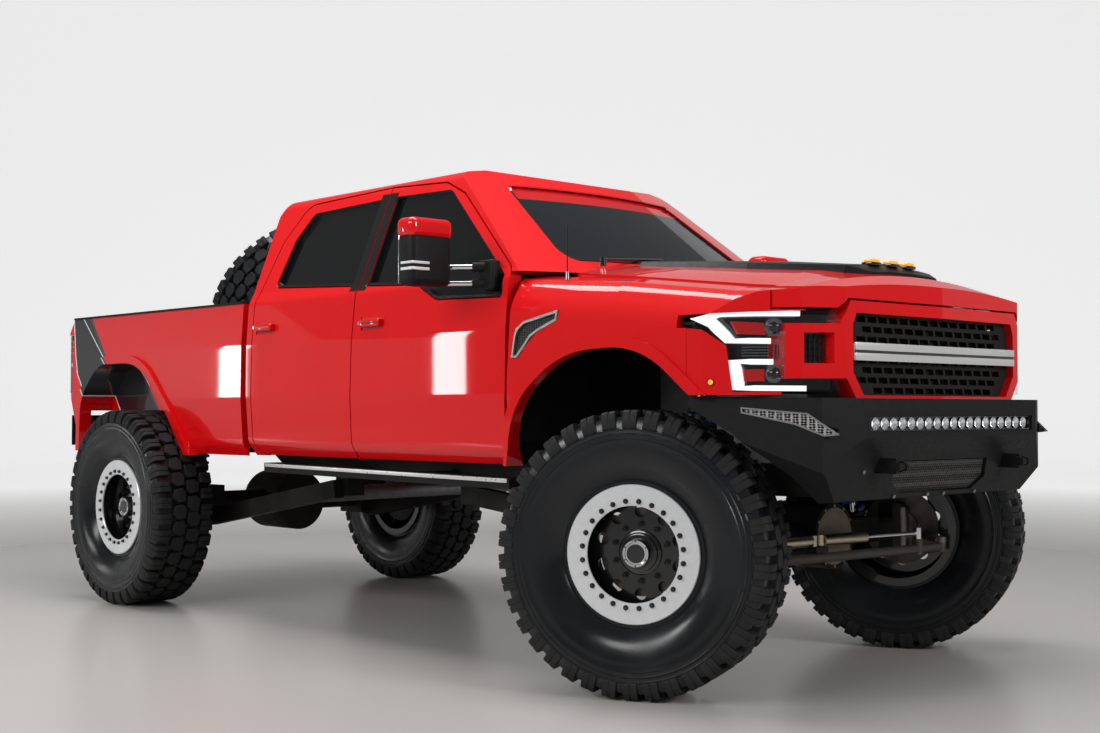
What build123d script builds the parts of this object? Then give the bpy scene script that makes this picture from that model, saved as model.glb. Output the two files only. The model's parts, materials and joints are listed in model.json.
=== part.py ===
# A lifted crew-cab pickup truck on very large off-road tyres, as an assembly of separate pieces.
# Millimetres, X forward, Y to the truck's left, Z up. The origin is on the ground, at mid length.
# Stations along X are measured from the front axle, and heights from the ground.
from build123d import *
import os
from math import cos, radians, sin

os.makedirs("parts", exist_ok=True)

# Whole truck
wheelbase = 4059
front_reach = 933        # front axle to the tips of the tow shackles
rear_reach = 5176        # front axle to the back of the rear bumper
front_axle = (rear_reach - front_reach) / 2
running_gap = 8          # shut lines round doors, hood and tailgate
seat_gap = 0.3           # pieces that rest on each other across a joint or a glass edge

# Wheels
tyre_radius = 577
tread_half = 176
tyre_half = 190          # half the section width at the sidewalls
lug_count = 36
lug_length = 58          # along the tread
lug_height = 24
lug_turn = 180 / lug_count   # the carcass turns its corners under the lugs
bead_radius = 262        # hole of the tyre
ring_radius = 279        # clamp ring on the outer face
ring_face = 143          # outer face of the ring from the wheel's middle
ring_inner = 193
disc_face = 40           # outer face of the wheel disc from the wheel's middle
disc_thickness = 20
hub_radius = 90
rear_half_track = 1033

# Steering
kingpin_half = 912       # kingpins from the centre line
scrub_offset = 40        # wheel's middle outboard of its kingpin
steer_rest = 25          # wheels turned to the left, as the truck stands
steer_lock = 30
arm_ahead = 215          # tie-rod pin ahead of the kingpin
arm_inboard = 175
rod_height = 500
rod_radius = 22
damper_height = 575
damper_radius = 26

# Body
body_half = 1000
cab_back = -2915
cab_wall = 75
sill_bottom = 905
floor_top = 1010
sill_half = 905          # outer faces of the sills, behind the doors
bed_front = -2976
bed_tail = -5090
bed_rail = 1740
bed_floor = 1200
bed_wall_inner = 780


# Planes in the truck's own directions, with their origin at the front axle's station.
def side(y):
    return Plane(origin=(front_axle, y, 0), x_dir=(1, 0, 0), z_dir=(0, -1, 0))


def across(x):
    return Plane(origin=(front_axle + x, 0, 0), x_dir=(0, 1, 0), z_dir=(1, 0, 0))


def level(z):
    return Plane(origin=(front_axle, 0, z), x_dir=(1, 0, 0), z_dir=(0, 0, 1))


def outline(plane, rows, inset=0.0):
    """A closed face from rows of (first, second, corner radius)."""
    with BuildSketch(plane) as face:
        with BuildLine():
            Polyline(*[(row[0], row[1]) for row in rows], close=True)
        make_face()
        if inset:
            offset(amount=-inset, kind=Kind.INTERSECTION, mode=Mode.REPLACE)
        for row in rows:
            if len(row) > 2 and row[2] > inset:
                corner = face.vertices().sort_by_distance((row[0], row[1], 0))[0]
                fillet(corner, row[2] - inset)
    return face.sketch


def twin(rows):
    """The rows on one side of the centre line, and the same rows mirrored, as one closed loop."""
    return list(rows) + [(-row[0],) + tuple(row[1:]) for row in reversed(rows)]


def side_block(rows, y_from, y_to, mode=Mode.ADD, inset=0.0):
    extrude(outline(side(y_from), rows, inset), amount=y_from - y_to, mode=mode)


def across_block(rows, x_from, x_to, mode=Mode.ADD, inset=0.0):
    extrude(outline(across(x_from), rows, inset), amount=x_to - x_from, mode=mode)


def level_block(rows, z_from, z_to, mode=Mode.ADD, inset=0.0):
    extrude(outline(level(z_from), rows, inset), amount=z_to - z_from, mode=mode)


def box(x, y, z, mode=Mode.ADD):
    """A block from its limits along X, Y and Z."""
    rows = [(x[0], y[0]), (x[1], y[0]), (x[1], y[1]), (x[0], y[1])]
    level_block(rows, z[0], z[1], mode)


def rod(start, end, radius, mode=Mode.ADD):
    """A round bar between two points."""
    first = Vector(front_axle, 0, 0) + Vector(start)
    last = Vector(front_axle, 0, 0) + Vector(end)
    with BuildSketch(Plane(origin=first, z_dir=last - first)) as section:
        Circle(radius)
    extrude(section.sketch, amount=(last - first).length, mode=mode)


def beam(start, end, width, height, mode=Mode.ADD):
    """A bar of rectangular section between two points, upright on its edge."""
    first = Vector(front_axle, 0, 0) + Vector(start)
    last = Vector(front_axle, 0, 0) + Vector(end)
    along = last - first
    with BuildSketch(Plane(origin=first, x_dir=along.cross(Vector(0, 0, 1)), z_dir=along)) as section:
        Rectangle(width, height)
    extrude(section.sketch, amount=along.length, mode=mode)


def keep(piece, name):
    piece.label = name
    export_step(piece, f"parts/{name}.step")


def keep_pair(piece, name):
    """A piece of the right side under its own name, and its mirror image for the left."""
    keep(piece, name + "_right")
    keep(mirror(piece, about=Plane.XZ), name + "_left")


def turned(x, y, angle):
    """A point turned about a vertical axis."""
    swing = radians(angle)
    return x * cos(swing) - y * sin(swing), x * sin(swing) + y * cos(swing)


# Frame: two boxed rails with cross members
rail_inner = 390
rail_outer = 455
rail_rows = [
    (834.7, 1018), (834.7, 1062), (600, 930), (-600, 930), (-3250, 930), (-3500, 1040), (-4600, 1040),
    (-4850, 940), (-5095, 940), (-5095, 850), (-4800, 850), (-4560, 930), (-3550, 930), (-3300, 780),
    (-600, 780), (600, 800),
]
cross_members = [(500, 60), (-560, 80), (-1650, 90), (-2850, 80), (-4950, 80)]
with BuildPart() as frame_rails:
    side_block(rail_rows, -rail_inner, -rail_outer)
    side_block(rail_rows, rail_outer, rail_inner)
    for station, width in cross_members:
        box((station - width / 2, station + width / 2), (-rail_inner - 5, rail_inner + 5), (855, 915))
    box((-4100, -4020), (-rail_inner - 5, rail_inner + 5), (960, 1020))
    for flank in (-1, 1):
        over_rail = sorted((flank * rail_inner, flank * rail_outer))
        # cab mounts, bed sills and engine mounts
        for station in (-1000, -1780, -2600):
            box((station - 40, station + 40), over_rail, (920, floor_top - 50 - seat_gap))
        for station, foot in ((-3100, 920), (-3620, 1030), (-4500, 1030), (-4940, 930)):
            box((station - 35, station + 35), over_rail, (foot, bed_floor - 50 - seat_gap))
        box((-140, -40), sorted((flank * (270 + seat_gap), flank * (rail_inner + 5))), (875, 920))
    # core support and radiator, behind the grille
    box((660, 712), (-480, 480), (900, 1540))
    box((700, 745 - seat_gap), (-40, 40), (1225, 1505))
keep(frame_rails.part, "frame_rails")

# Front axle with its yokes, which the kingpins pass through
tube_radius = 60
yoke_height = 122
ear_radius = 24
knuckle_half = 100
diff_offset = 235
diff_radius = 150
perch_top = 645
with BuildPart() as front_axle_beam:
    rod((0, -800, tyre_radius), (0, 800, tyre_radius), tube_radius)
    for flank in (-1, 1):
        plate = sorted((flank * 785, flank * 855))
        ears = sorted((flank * 785, flank * kingpin_half))
        box((-40, 40), plate, (tyre_radius - yoke_height, tyre_radius + yoke_height))
        for low, high in ((-yoke_height, -knuckle_half - seat_gap), (knuckle_half + seat_gap, yoke_height)):
            box((-22, 22), ears, (tyre_radius + low, tyre_radius + high))
            rod((0, flank * kingpin_half, tyre_radius + low), (0, flank * kingpin_half, tyre_radius + high),
                ear_radius)
        # spring and arm perches
        box((-110, 60), sorted((flank * 420, flank * 640)), (535, perch_top))
    rod((-130, diff_offset, tyre_radius), (98, diff_offset, tyre_radius), diff_radius)
    # perch of the steering dampers
    box((50, 205), (-45, 45), (damper_height - 50, damper_height - damper_radius - seat_gap))
keep(front_axle_beam.part, "front_axle")

# Rear axle with its brakes
rear_tube = 70
with BuildPart() as rear_axle_beam:
    rod((-wheelbase, -1052.7, tyre_radius), (-wheelbase, 1052.7, tyre_radius), rear_tube)
    for flank in (-1, 1):
        rod((-wheelbase, flank * 930, tyre_radius), (-wheelbase, flank * 975, tyre_radius), 185)
        box((-wheelbase - 120, -wheelbase + 120), sorted((flank * 520, flank * 680)), (470, 690))
    rod((-wheelbase - 190, 0, tyre_radius), (-wheelbase + 170, 0, tyre_radius), 185)
keep(rear_axle_beam.part, "rear_axle")

# Radius arms in front and ladder bars behind
with BuildPart() as suspension_arms:
    for flank in (-1, 1):
        y = flank * 455
        beam((-100, y, 563), (-1604, y, 715), 56, 95)
        box((-110 - seat_gap, 60), sorted((flank * 400, flank * 640)), (500, perch_top + 5), Mode.SUBTRACT)
        box((-1700, -1560), sorted((flank * 426, flank * 484)), (670, 779.7))
        beam((-wheelbase + 100, flank * 600, 495), (-2612, flank * 600, 720), 60, 100)
        box((-wheelbase, -wheelbase + 120 + seat_gap), sorted((flank * 500, flank * 700)), (400, 700), Mode.SUBTRACT)
        box((-2680, -2570), sorted((flank * 455, flank * 570)), (680, 800))
keep(suspension_arms.part, "suspension_arms")

# Coil springs over their dampers, as plain outer shapes
with BuildPart() as coilovers:
    for flank in (-1, 1):
        rod((-30, flank * 574, 560), (-60, flank * 504, 1180), 52)
        rod((-34, flank * 560, 700), (-60, flank * 500, 1280), 30)
        box((-140, 80), sorted((flank * 400, flank * 700)), (500, perch_top + seat_gap), Mode.SUBTRACT)
        box((-130, 10), sorted((flank * 455, flank * 540)), (1275, 1300))
        box((-110, -10), sorted((flank * 455.3, flank * 475)), (860, 1300))
        rod((-wheelbase - 50, flank * 600, 650), (-wheelbase - 150, flank * 512, 1070), 48)
        box((-wheelbase - 140, -wheelbase + 140), sorted((flank * 500, flank * 700)), (600, 690 + seat_gap),
            Mode.SUBTRACT)
        box((-wheelbase - 210, -wheelbase - 90), sorted((flank * 400, flank * 560)), (1040 + seat_gap, 1075))
keep(coilovers.part, "coilovers")

# Engine, as one plain block, and the driveline that shows from below
with BuildPart() as engine_block:
    box((-510, 330), (-270, 270), (870, 1420))
keep(engine_block.part, "engine_block")

with BuildPart() as driveline:
    box((-1250, -610), (-190, 190), (700, 945))
    box((-1700, -1250), (-160, 300), (660, 855 - seat_gap))
    rod((-1700, 0, 770), (-wheelbase + 174.2, 0, 600), 45)
    rod((-1250, diff_offset, 740), (-134.5, diff_offset, 600), 32)
keep(driveline.part, "driveline")

# Steps along the sills, carried by brackets on the frame
step_rows = [(-2773, 868), (-776, 849), (-776, 799), (-2773, 818)]
with BuildPart() as side_steps:
    for flank in (-1, 1):
        side_block(step_rows, max(flank * 880, flank * 975), min(flank * 880, flank * 975))
        for station in (-1000, -1780, -2600):
            box((station - 30, station + 30), sorted((flank * rail_outer, flank * 890)), (812, 840))
keep(side_steps.part, "side_steps")

# Wheels, built at the origin with their outer face towards +Y
def wheel_stack(rows, mode=Mode.ADD):
    """A many-sided turned form from rows of (offset along the axle, flat-to-centre radius)."""
    sections = []
    for offset_y, radius in rows:
        with BuildSketch(Plane(origin=(0, offset_y, 0), x_dir=(0, 0, -1), z_dir=(0, 1, 0))) as section:
            RegularPolygon(radius, lug_count, major_radius=False, rotation=lug_turn)
        sections.append(section.sketch)
    loft(sections, ruled=True, mode=mode)


bead_half = 128
tread_root = tyre_radius - lug_height
tyre_rows = [(-bead_half, 300), (-tyre_half, 430), (-tread_half, tread_root), (tread_half, tread_root),
             (tyre_half, 430), (bead_half, 300)]
with BuildPart() as tyre_form:
    wheel_stack(tyre_rows)
    with BuildSketch(Plane(origin=(0, -tread_half, 0), x_dir=(0, 0, -1), z_dir=(0, 1, 0))):
        RegularPolygon(tread_root, lug_count, major_radius=False, rotation=lug_turn)
        with PolarLocations(tyre_radius - lug_height, lug_count):
            Rectangle(2 * lug_height, lug_length)
        RegularPolygon(tread_root - 2 * lug_height, lug_count, major_radius=False, rotation=lug_turn,
                       mode=Mode.SUBTRACT)
    extrude(amount=2 * tread_half)
    wheel_stack([(-tyre_half, bead_radius), (tyre_half, bead_radius)], mode=Mode.SUBTRACT)

flange_back = bead_half + seat_gap
barrel_inner = 242
dish_radius = 235
cap_radius = 57
hand_holes = 10
hand_hole_radius = 25
with BuildPart() as rim_form:
    wheel_stack([(-ring_face, ring_radius), (-flange_back, ring_radius)])
    wheel_stack([(-flange_back, bead_radius - seat_gap), (flange_back, bead_radius - seat_gap)])
    wheel_stack([(flange_back, ring_radius), (ring_face, ring_radius)])
    wheel_stack([(-ring_face, barrel_inner), (disc_face - disc_thickness, barrel_inner)], Mode.SUBTRACT)
    wheel_stack([(disc_face, dish_radius), (ring_face - 15, dish_radius)], Mode.SUBTRACT)
    wheel_stack([(ring_face - 15, ring_inner), (ring_face, ring_inner)], Mode.SUBTRACT)
    with BuildSketch(Plane(origin=(0, disc_face, 0), x_dir=(1, 0, 0), z_dir=(0, 1, 0))):
        RegularPolygon(hub_radius, 18)
    extrude(amount=22)
    with BuildSketch(Plane(origin=(0, disc_face + 22, 0), x_dir=(1, 0, 0), z_dir=(0, 1, 0))):
        Circle(cap_radius)
    extrude(amount=45)
    with BuildSketch(Plane(origin=(0, disc_face, 0), x_dir=(1, 0, 0), z_dir=(0, 1, 0))):
        with PolarLocations(168, hand_holes):
            RegularPolygon(hand_hole_radius, 8)
    extrude(amount=-disc_thickness, mode=Mode.SUBTRACT)

wheel_pieces = {"tyre": tyre_form.part, "rim": rim_form.part}
for flank, hand in ((1, "left"), (-1, "right")):
    for kind, piece in wheel_pieces.items():
        handed = piece if flank > 0 else mirror(piece, about=Plane.XZ)
        steered = handed.moved(Location((0, flank * scrub_offset, tyre_radius)))
        kingpin = Location((front_axle, flank * kingpin_half, 0), (0, 0, steer_rest))
        keep(steered.moved(kingpin), f"{kind}_front_{hand}")
        rear_hub = Location((front_axle - wheelbase, flank * rear_half_track, tyre_radius))
        keep(handed.moved(rear_hub), f"{kind}_rear_{hand}")

# Knuckles, built straight ahead with the kingpin at the origin, then turned as the truck stands
arm_bottom = rod_height + 23.5
arm_thickness = 26
disc_radius = 180
spindle_radius = 80
hub_end = scrub_offset + disc_face - disc_thickness - seat_gap
with BuildPart() as knuckle_form:
    with BuildSketch(Plane.XY.offset(tyre_radius - knuckle_half)):
        Circle(42)
    extrude(amount=2 * knuckle_half)
    with BuildSketch(Plane(origin=(0, 0, tyre_radius), x_dir=(1, 0, 0), z_dir=(0, 1, 0))):
        Circle(spindle_radius)
    extrude(amount=hub_end)
    with BuildSketch(Plane(origin=(0, scrub_offset - 5, tyre_radius), x_dir=(1, 0, 0), z_dir=(0, 1, 0))):
        Circle(disc_radius)
    extrude(amount=18)
    with BuildSketch(Plane.XY.offset(arm_bottom)) as arm:
        with BuildLine():
            Polyline((0, 0), (112, 8), (arm_ahead, -arm_inboard))
        trace(line_width=46)
        with Locations((arm_ahead, -arm_inboard)):
            Circle(30)
    extrude(amount=arm_thickness)
kingpin_left = Location((front_axle, kingpin_half, 0), (0, 0, steer_rest))
kingpin_right = Location((front_axle, -kingpin_half, 0), (0, 0, steer_rest))
keep(knuckle_form.part.moved(kingpin_left), "knuckle_left")
keep(mirror(knuckle_form.part, about=Plane.XZ).moved(kingpin_right), "knuckle_right")


def arm_pin(flank, angle):
    """Where the steering arm's pin stands, from the front axle, with the wheels at an angle."""
    x, y = turned(arm_ahead, -flank * arm_inboard, angle)
    return Vector(x, flank * kingpin_half + y, rod_height)


# Tie rod, hung under the arms
eye_radius = 26
damper_reach = 170       # clamp of a damper along the rod from its pin
left_pin = arm_pin(1, steer_rest)
right_pin = arm_pin(-1, steer_rest)
rod_line = (right_pin - left_pin).normalized()
left_clamp = left_pin + rod_line * damper_reach
right_clamp = right_pin - rod_line * damper_reach
clamp_top = damper_height - damper_radius - seat_gap
with BuildPart() as tie_rod:
    rod(left_pin, right_pin, rod_radius)
    for pin in (left_pin, right_pin):
        rod(pin - Vector(0, 0, 20), pin + Vector(0, 0, 23.2), eye_radius)
    for clamp in (left_clamp, right_clamp):
        rod(clamp - Vector(0, 0, 24), clamp + Vector(0, 0, clamp_top - rod_height), 26)
keep(tie_rod.part, "tie_rod")

# Two steering dampers from the axle's perch out to the rod
damper_anchor = 25
damper_ahead = 172
damper_body = 290
shaft_length = 410
for hand, flank, clamp in (("left", 1, left_clamp), ("right", -1, right_clamp)):
    anchor = Vector(damper_ahead, flank * damper_anchor, damper_height)
    eye = Vector(clamp.X, clamp.Y, damper_height)
    along = (eye - anchor).normalized()
    lift = Vector(0, 0, damper_radius)
    with BuildPart() as damper:
        rod(anchor + along * 18, anchor + along * damper_body, damper_radius)
        rod(anchor - lift * 0.9, anchor + lift * 0.9, 19)
        rod(anchor + along * 36, anchor + along * (damper_body + 1), 11, Mode.SUBTRACT)
    keep(damper.part, f"damper_{hand}")
    with BuildPart() as shaft:
        rod(eye - along * shaft_length, eye, 9)
        rod(eye - lift, eye + lift, 19)
    keep(shaft.part, f"damper_shaft_{hand}")

# Cab: the outer form is a side view, a cross section and a curved windscreen cut from one block
cab_side = [
    (-775, sill_bottom), (-775, 1772), (-560, 1772), (-545, 1800), (-1262, 2312),
    (-1450, 2352), (-1850, 2378), (-2400, 2374), (-2880, 2335, 60), (-2945, 2240), (-2925, 1780),
    (cab_back, sill_bottom),
]
half_section = [
    (-930, sill_bottom), (-985, 975, 90), (-body_half - 3, 1220, 300), (-body_half, 1500, 400),
    (-982, 1735, 60), (-950, 1792, 40), (-738, 2318, 90), (-380, 2366, 400),
]
screen_radius = 3600
screen_top = (-1262, 2312)
screen_foot = (-545, 1800)


def screen_block(inset, mode=Mode.INTERSECT):
    """Rounds the windscreen in plan: a large drum lying along the screen's slope."""
    slope = Vector(screen_top[0] - screen_foot[0], 0, screen_top[1] - screen_foot[1]).normalized()
    inward = Vector(-slope.Z, 0, slope.X)
    foot = Vector(front_axle + screen_foot[0], 0, screen_foot[1])
    middle = foot + inward * screen_radius - slope * 3000
    with BuildSketch(Plane(origin=middle, x_dir=(0, 1, 0), z_dir=slope)) as drum:
        Circle(screen_radius - inset)
    extrude(drum.sketch, amount=6000, mode=mode)


def cab_form(inset):
    with BuildPart() as form:
        side_block(cab_side, 1200, -1200, inset=inset)
        across_block(twin(half_section), -3100, -400, Mode.INTERSECT, inset)
        screen_block(inset)
    return form.part


cab_outer = cab_form(0)
cab_inner = cab_form(cab_wall)
cab_clear = cab_form(-seat_gap)
door_root = 640          # the doors reach no further in than this from the centre line
belt = 1740              # below it the doors stay outside the sills and pillars

# Door outlines in side view, and the windows in them
front_door_rows = [
    (-800, sill_bottom + 4, 30), (-756, 1507), (-742, 1700), (-800, 1800), (-1310, 2195),
    (-1480, 2268, 60), (-1926, 2292), (-1926, 1780), (-1952, sill_bottom + 4, 30),
]
rear_door_rows = [
    (-1952 - running_gap, sill_bottom + 4, 30), (-1926 - running_gap, 1780),
    (-1926 - running_gap, 2292), (-2660, 2272, 120), (-2800, 2080, 120), (-2862, 1760),
    (-2868, sill_bottom + 4, 90),
]
front_window_rows = [
    (-808, 1655, 25), (-1285, 1668, 40), (-1440, 1748, 40), (-1868, 1770), (-1868, 2240, 20),
    (-1420, 2228, 60), (-812, 1758, 25),
]
rear_window_rows = [
    (-1990, 1775), (-2730, 1812, 40), (-2690, 2080, 60), (-2590, 2222, 60), (-1990, 2238, 20),
]
glass_depth = 26
glass_thickness = 6
doors = {
    "front": (front_door_rows, front_window_rows),
    "rear": (rear_door_rows, rear_window_rows),
}
glass_outer = cab_form(glass_depth)
glass_inner = cab_form(glass_depth + glass_thickness)
skin_inner = cab_form(22)

# Door handles, in a shallow cup: (door, station, height)
handles = {"front": (-1760, 1582), "rear": (-2725, 1598)}
for place, (door_rows, window_rows) in doors.items():
    with BuildPart() as door_skin:
        side_block(door_rows, -door_root, -1200)
        add(cab_outer, mode=Mode.INTERSECT)
        add(skin_inner, mode=Mode.SUBTRACT)
    with BuildPart() as door:
        # the outer skin fills the opening, and the rest of the door steps in behind it
        side_block(door_rows, -door_root, -1200, inset=18)
        add(cab_outer, mode=Mode.INTERSECT)
        add(cab_inner, mode=Mode.SUBTRACT)
        add(door_skin.part)
        box((-3000, -700), (-sill_half - 15, -600), (sill_bottom - 20, floor_top + 20), Mode.SUBTRACT)
        box((-3000, -700), (-sill_half - seat_gap, -600), (sill_bottom, belt), Mode.SUBTRACT)
        box((-880, -700), (-sill_half - seat_gap, -600), (sill_bottom, 1860), Mode.SUBTRACT)
        side_block(window_rows, 0, -1200, Mode.SUBTRACT)
        station, height = handles[place]
        box((station - 108, station + 83), (-body_half - 22, -body_half + 12), (height - 34, height + 34),
            Mode.SUBTRACT)
        box((station - 95, station + 70), (-body_half - 20, -body_half + 20), (height - 16, height + 16))
    keep_pair(door.part, f"{place}_door")
    with BuildPart() as glass:
        side_block(window_rows, -door_root, -1200, inset=seat_gap)
        add(glass_outer, mode=Mode.INTERSECT)
        add(glass_inner, mode=Mode.SUBTRACT)
    keep_pair(glass.part, f"{place}_glass")

# Cab shell, with its door openings, screens, sills and a raised floor over the frame
screen_rows = twin([(-690, 1835, 60), (-575, 2250, 60)])
back_window_rows = twin([(-610, 1850, 60), (-560, 2215, 60)])
with BuildPart() as cab_shell:
    add(cab_outer)
    add(cab_inner, mode=Mode.SUBTRACT)
    box((-3000, -600), (-sill_half, sill_half), (sill_bottom - 5, floor_top - 40), Mode.SUBTRACT)
    with BuildPart(mode=Mode.PRIVATE) as openings:
        for door_rows, window_rows in doors.values():
            for y_from, y_to in ((1200, door_root), (-door_root, -1200)):
                side_block(door_rows, y_from, y_to, inset=-running_gap)
        box((-3000, -700), (-sill_half, sill_half), (800, belt - running_gap), Mode.SUBTRACT)
        box((-870, -700), (-sill_half, sill_half), (800, 1850), Mode.SUBTRACT)
    add(openings.part, mode=Mode.SUBTRACT)
    box((cab_back + 2, -776), (-sill_half, sill_half), (floor_top - 50, floor_top))
    for flank in (-1, 1):
        box((cab_back + 2, -776), sorted((flank * (sill_half - 60), flank * sill_half)),
            (sill_bottom + 5, floor_top))
    # pillars between the doors, just inside them
    with BuildPart(mode=Mode.PRIVATE) as pillars:
        for y_from, y_to in ((-sill_half, -560), (560, sill_half)):
            box((-1980, -1892), (y_from, y_to), (floor_top - 20, 2400))
        add(cab_form(cab_wall + seat_gap), mode=Mode.INTERSECT)
        add(cab_form(cab_wall + 55), mode=Mode.SUBTRACT)
        box((-2000, -1880), (-840, 840), (900, 1400), Mode.SUBTRACT)
    add(pillars.part)
    with BuildPart(mode=Mode.PRIVATE) as heads:
        for flank in (-1, 1):
            box((-1980, -1892), sorted((flank * 560, flank * (door_root - running_gap))), (2180, 2400))
        add(cab_form(20), mode=Mode.INTERSECT)
    add(heads.part)
    across_block(screen_rows, -1300, -400, Mode.SUBTRACT)
    across_block(back_window_rows, -3100, -2700, Mode.SUBTRACT)
    # hood hinge brackets under the cowl
    for y in (-600, 600):
        box((-700, -540 - seat_gap), (y - 25, y + 25), (1752, 1785))
keep(cab_shell.part, "cab_shell")

with BuildPart() as cab_glass:
    across_block(screen_rows, -1300, -400, inset=seat_gap)
    across_block(back_window_rows, -3100, -2700, inset=seat_gap)
    add(cab_form(12), mode=Mode.INTERSECT)
    add(cab_form(18), mode=Mode.SUBTRACT)
keep(cab_glass.part, "cab_glass")

# Seats and dashboard
seat_half = 270
with BuildPart() as seats:
    for flank in (-1, 1):
        middle = flank * 400
        y = (middle - seat_half, middle + seat_half)
        side_block([(-1900, floor_top), (-1900, 1400, 60), (-1430, 1400, 70), (-1430, 1230, 50), (-1500, floor_top)],
                   y[1], y[0])
        side_block([(-1930, 1330, 40), (-1770, 1330, 40), (-1878, 1860, 50), (-1985, 1860, 40)], y[1], y[0])
        side_block([(-1970, 1840), (-1890, 1840), (-1900, 2040, 40), (-1990, 2040, 40)], middle + 135, middle - 135)
    side_block([(-2640, floor_top), (-2640, 1390, 40), (-2250, 1390, 70), (-2250, 1200, 40), (-2320, floor_top)],
               660, -660)
    side_block([(-2660, 1330, 40), (-2510, 1330, 40), (-2605, 1860, 50), (-2705, 1860, 40)], 660, -660)
    for middle in (-400, 0, 400):
        side_block([(-2695, 1840), (-2620, 1840), (-2625, 2020, 40), (-2710, 2020, 40)], middle + 120, middle - 120)
keep(seats.part, "seats")
with BuildPart() as dashboard:
    side_block([(-850.3, 1250), (-850.3, 1690), (-1000, 1720), (-1180, 1640), (-1180, 1480), (-1000, 1250)],
               840, -840)
    rod((-1180, 400, 1560), (-1330, 400, 1640), 25)
    rod((-1330, 400, 1640), (-1352, 400, 1652), 190)
    rod((-1325, 400, 1637), (-1360, 400, 1656), 162, Mode.SUBTRACT)
    rod((-1320, 400, 1634), (-1348, 400, 1650), 55)
    beam((-1341, 220, 1646), (-1341, 580, 1646), 16, 34)
keep(dashboard.part, "dashboard")

# Front sheet metal: nose plan shared by the fenders, lamps and grille
nose_plan = [
    (-800, -1200), (300, -1200), (300, -1004), (376, -1000), (560, -930), (700, -800), (795, -640), (818, 0),
    (795, 640), (700, 800), (560, 930), (376, 1000), (300, 1004), (300, 1200), (-800, 1200),
]
bumper_top = 1205
lamp_rows = [
    (-1010, 1525), (-672, 1536), (-672, 1490), (-842, 1486), (-842, 1271), (-672, 1271), (-660, 1221),
    (-955, 1221), (-964, 1400), (-1010, 1483),
]
# hood sections: (station, height at the centre, height at the edge, half width)
hood_sections = [(-540, 1838, 1762, 776), (-113, 1802, 1715, 774), (453, 1752, 1650, 766), (568, 1730, 1640, 766)]
# ahead of the fenders' ends the hood spreads over the lamps
nose_sections = [(568, 1730, 1634, 790), (700, 1705, 1626, 790), (818, 1656, 1606, 770)]
hood_thickness = 40
hood_corner = 870        # the nose reaches so far from the centre line, above the lamps
hood_corner_bottom = 1545
hood_lip = 1584          # lower edge over the grille


def hood_loft(rows, thickness):
    faces = []
    for station, centre, edge, half in rows:
        with BuildSketch(across(station)) as section:
            with BuildLine():
                ThreePointArc((-half, edge), (0, centre), (half, edge))
                Line((half, edge), (half, edge - thickness))
                ThreePointArc((half, edge - thickness), (0, centre - thickness), (-half, edge - thickness))
                Line((-half, edge - thickness), (-half, edge))
            make_face()
        faces.append(section.sketch)
    loft(faces, ruled=True)


# Fenders: (station, height at the hood edge, height of the shoulder, half width)
fender_sections = [
    (-765, 1760, 1735, body_half), (-113, 1708, 1682, 1006), (453, 1640, 1612, 1006), (818, 1612, 1590, 1000),
]
shoulder_radius = 100


def fender_form(inset):
    with BuildPart() as form:
        faces = []
        for station, inner_top, shoulder, half in fender_sections:
            rows = [
                (-782 + inset * 0.2, 880), (-782 + inset * 0.2, inner_top - inset),
                (-935 + inset, shoulder - inset, shoulder_radius - inset),
                (-half + inset, shoulder - 120, 2 * shoulder_radius - inset), (-half + inset, 1215),
                (-half + 12 + inset, 1000), (-945 + inset, 880),
            ]
            faces.append(outline(across(station), rows))
        loft(faces, ruled=True)
        level_block(nose_plan, 800, 1900, Mode.INTERSECT, inset)
    return form.part


with BuildPart() as hood:
    hood_loft(hood_sections, hood_thickness)
    with BuildPart(mode=Mode.PRIVATE) as nose:
        hood_loft(nose_sections, 200)
        with BuildPart(mode=Mode.PRIVATE) as corners:
            add(fender_form(0))
            box((nose_sections[0][0], 900), (-hood_corner, -778), (1400, 1750), Mode.INTERSECT)
            mirror(about=Plane.XZ)
        add(corners.part)
        level_block(nose_plan, 1300, 1900, Mode.INTERSECT)
        # open behind the skin, and cut along the lamps and the grille
        with BuildPart(mode=Mode.PRIVATE) as inside:
            hood_loft([(station, centre - hood_thickness, edge - hood_thickness, half)
                       for station, centre, edge, half in nose_sections], 300)
            box((568, 900), (-hood_corner - 1, hood_corner + 1), (1400, 1560), Mode.ADD)
            level_block(nose_plan, 1300, 1900, Mode.INTERSECT, hood_thickness)
        add(inside.part, mode=Mode.SUBTRACT)
        across_block(twin([(-900, 1300), (-900, hood_corner_bottom), (-668, hood_corner_bottom),
                           (-624, hood_lip)]), 500, 900, Mode.SUBTRACT)
    add(nose.part)
keep(hood.part, "hood")

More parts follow.
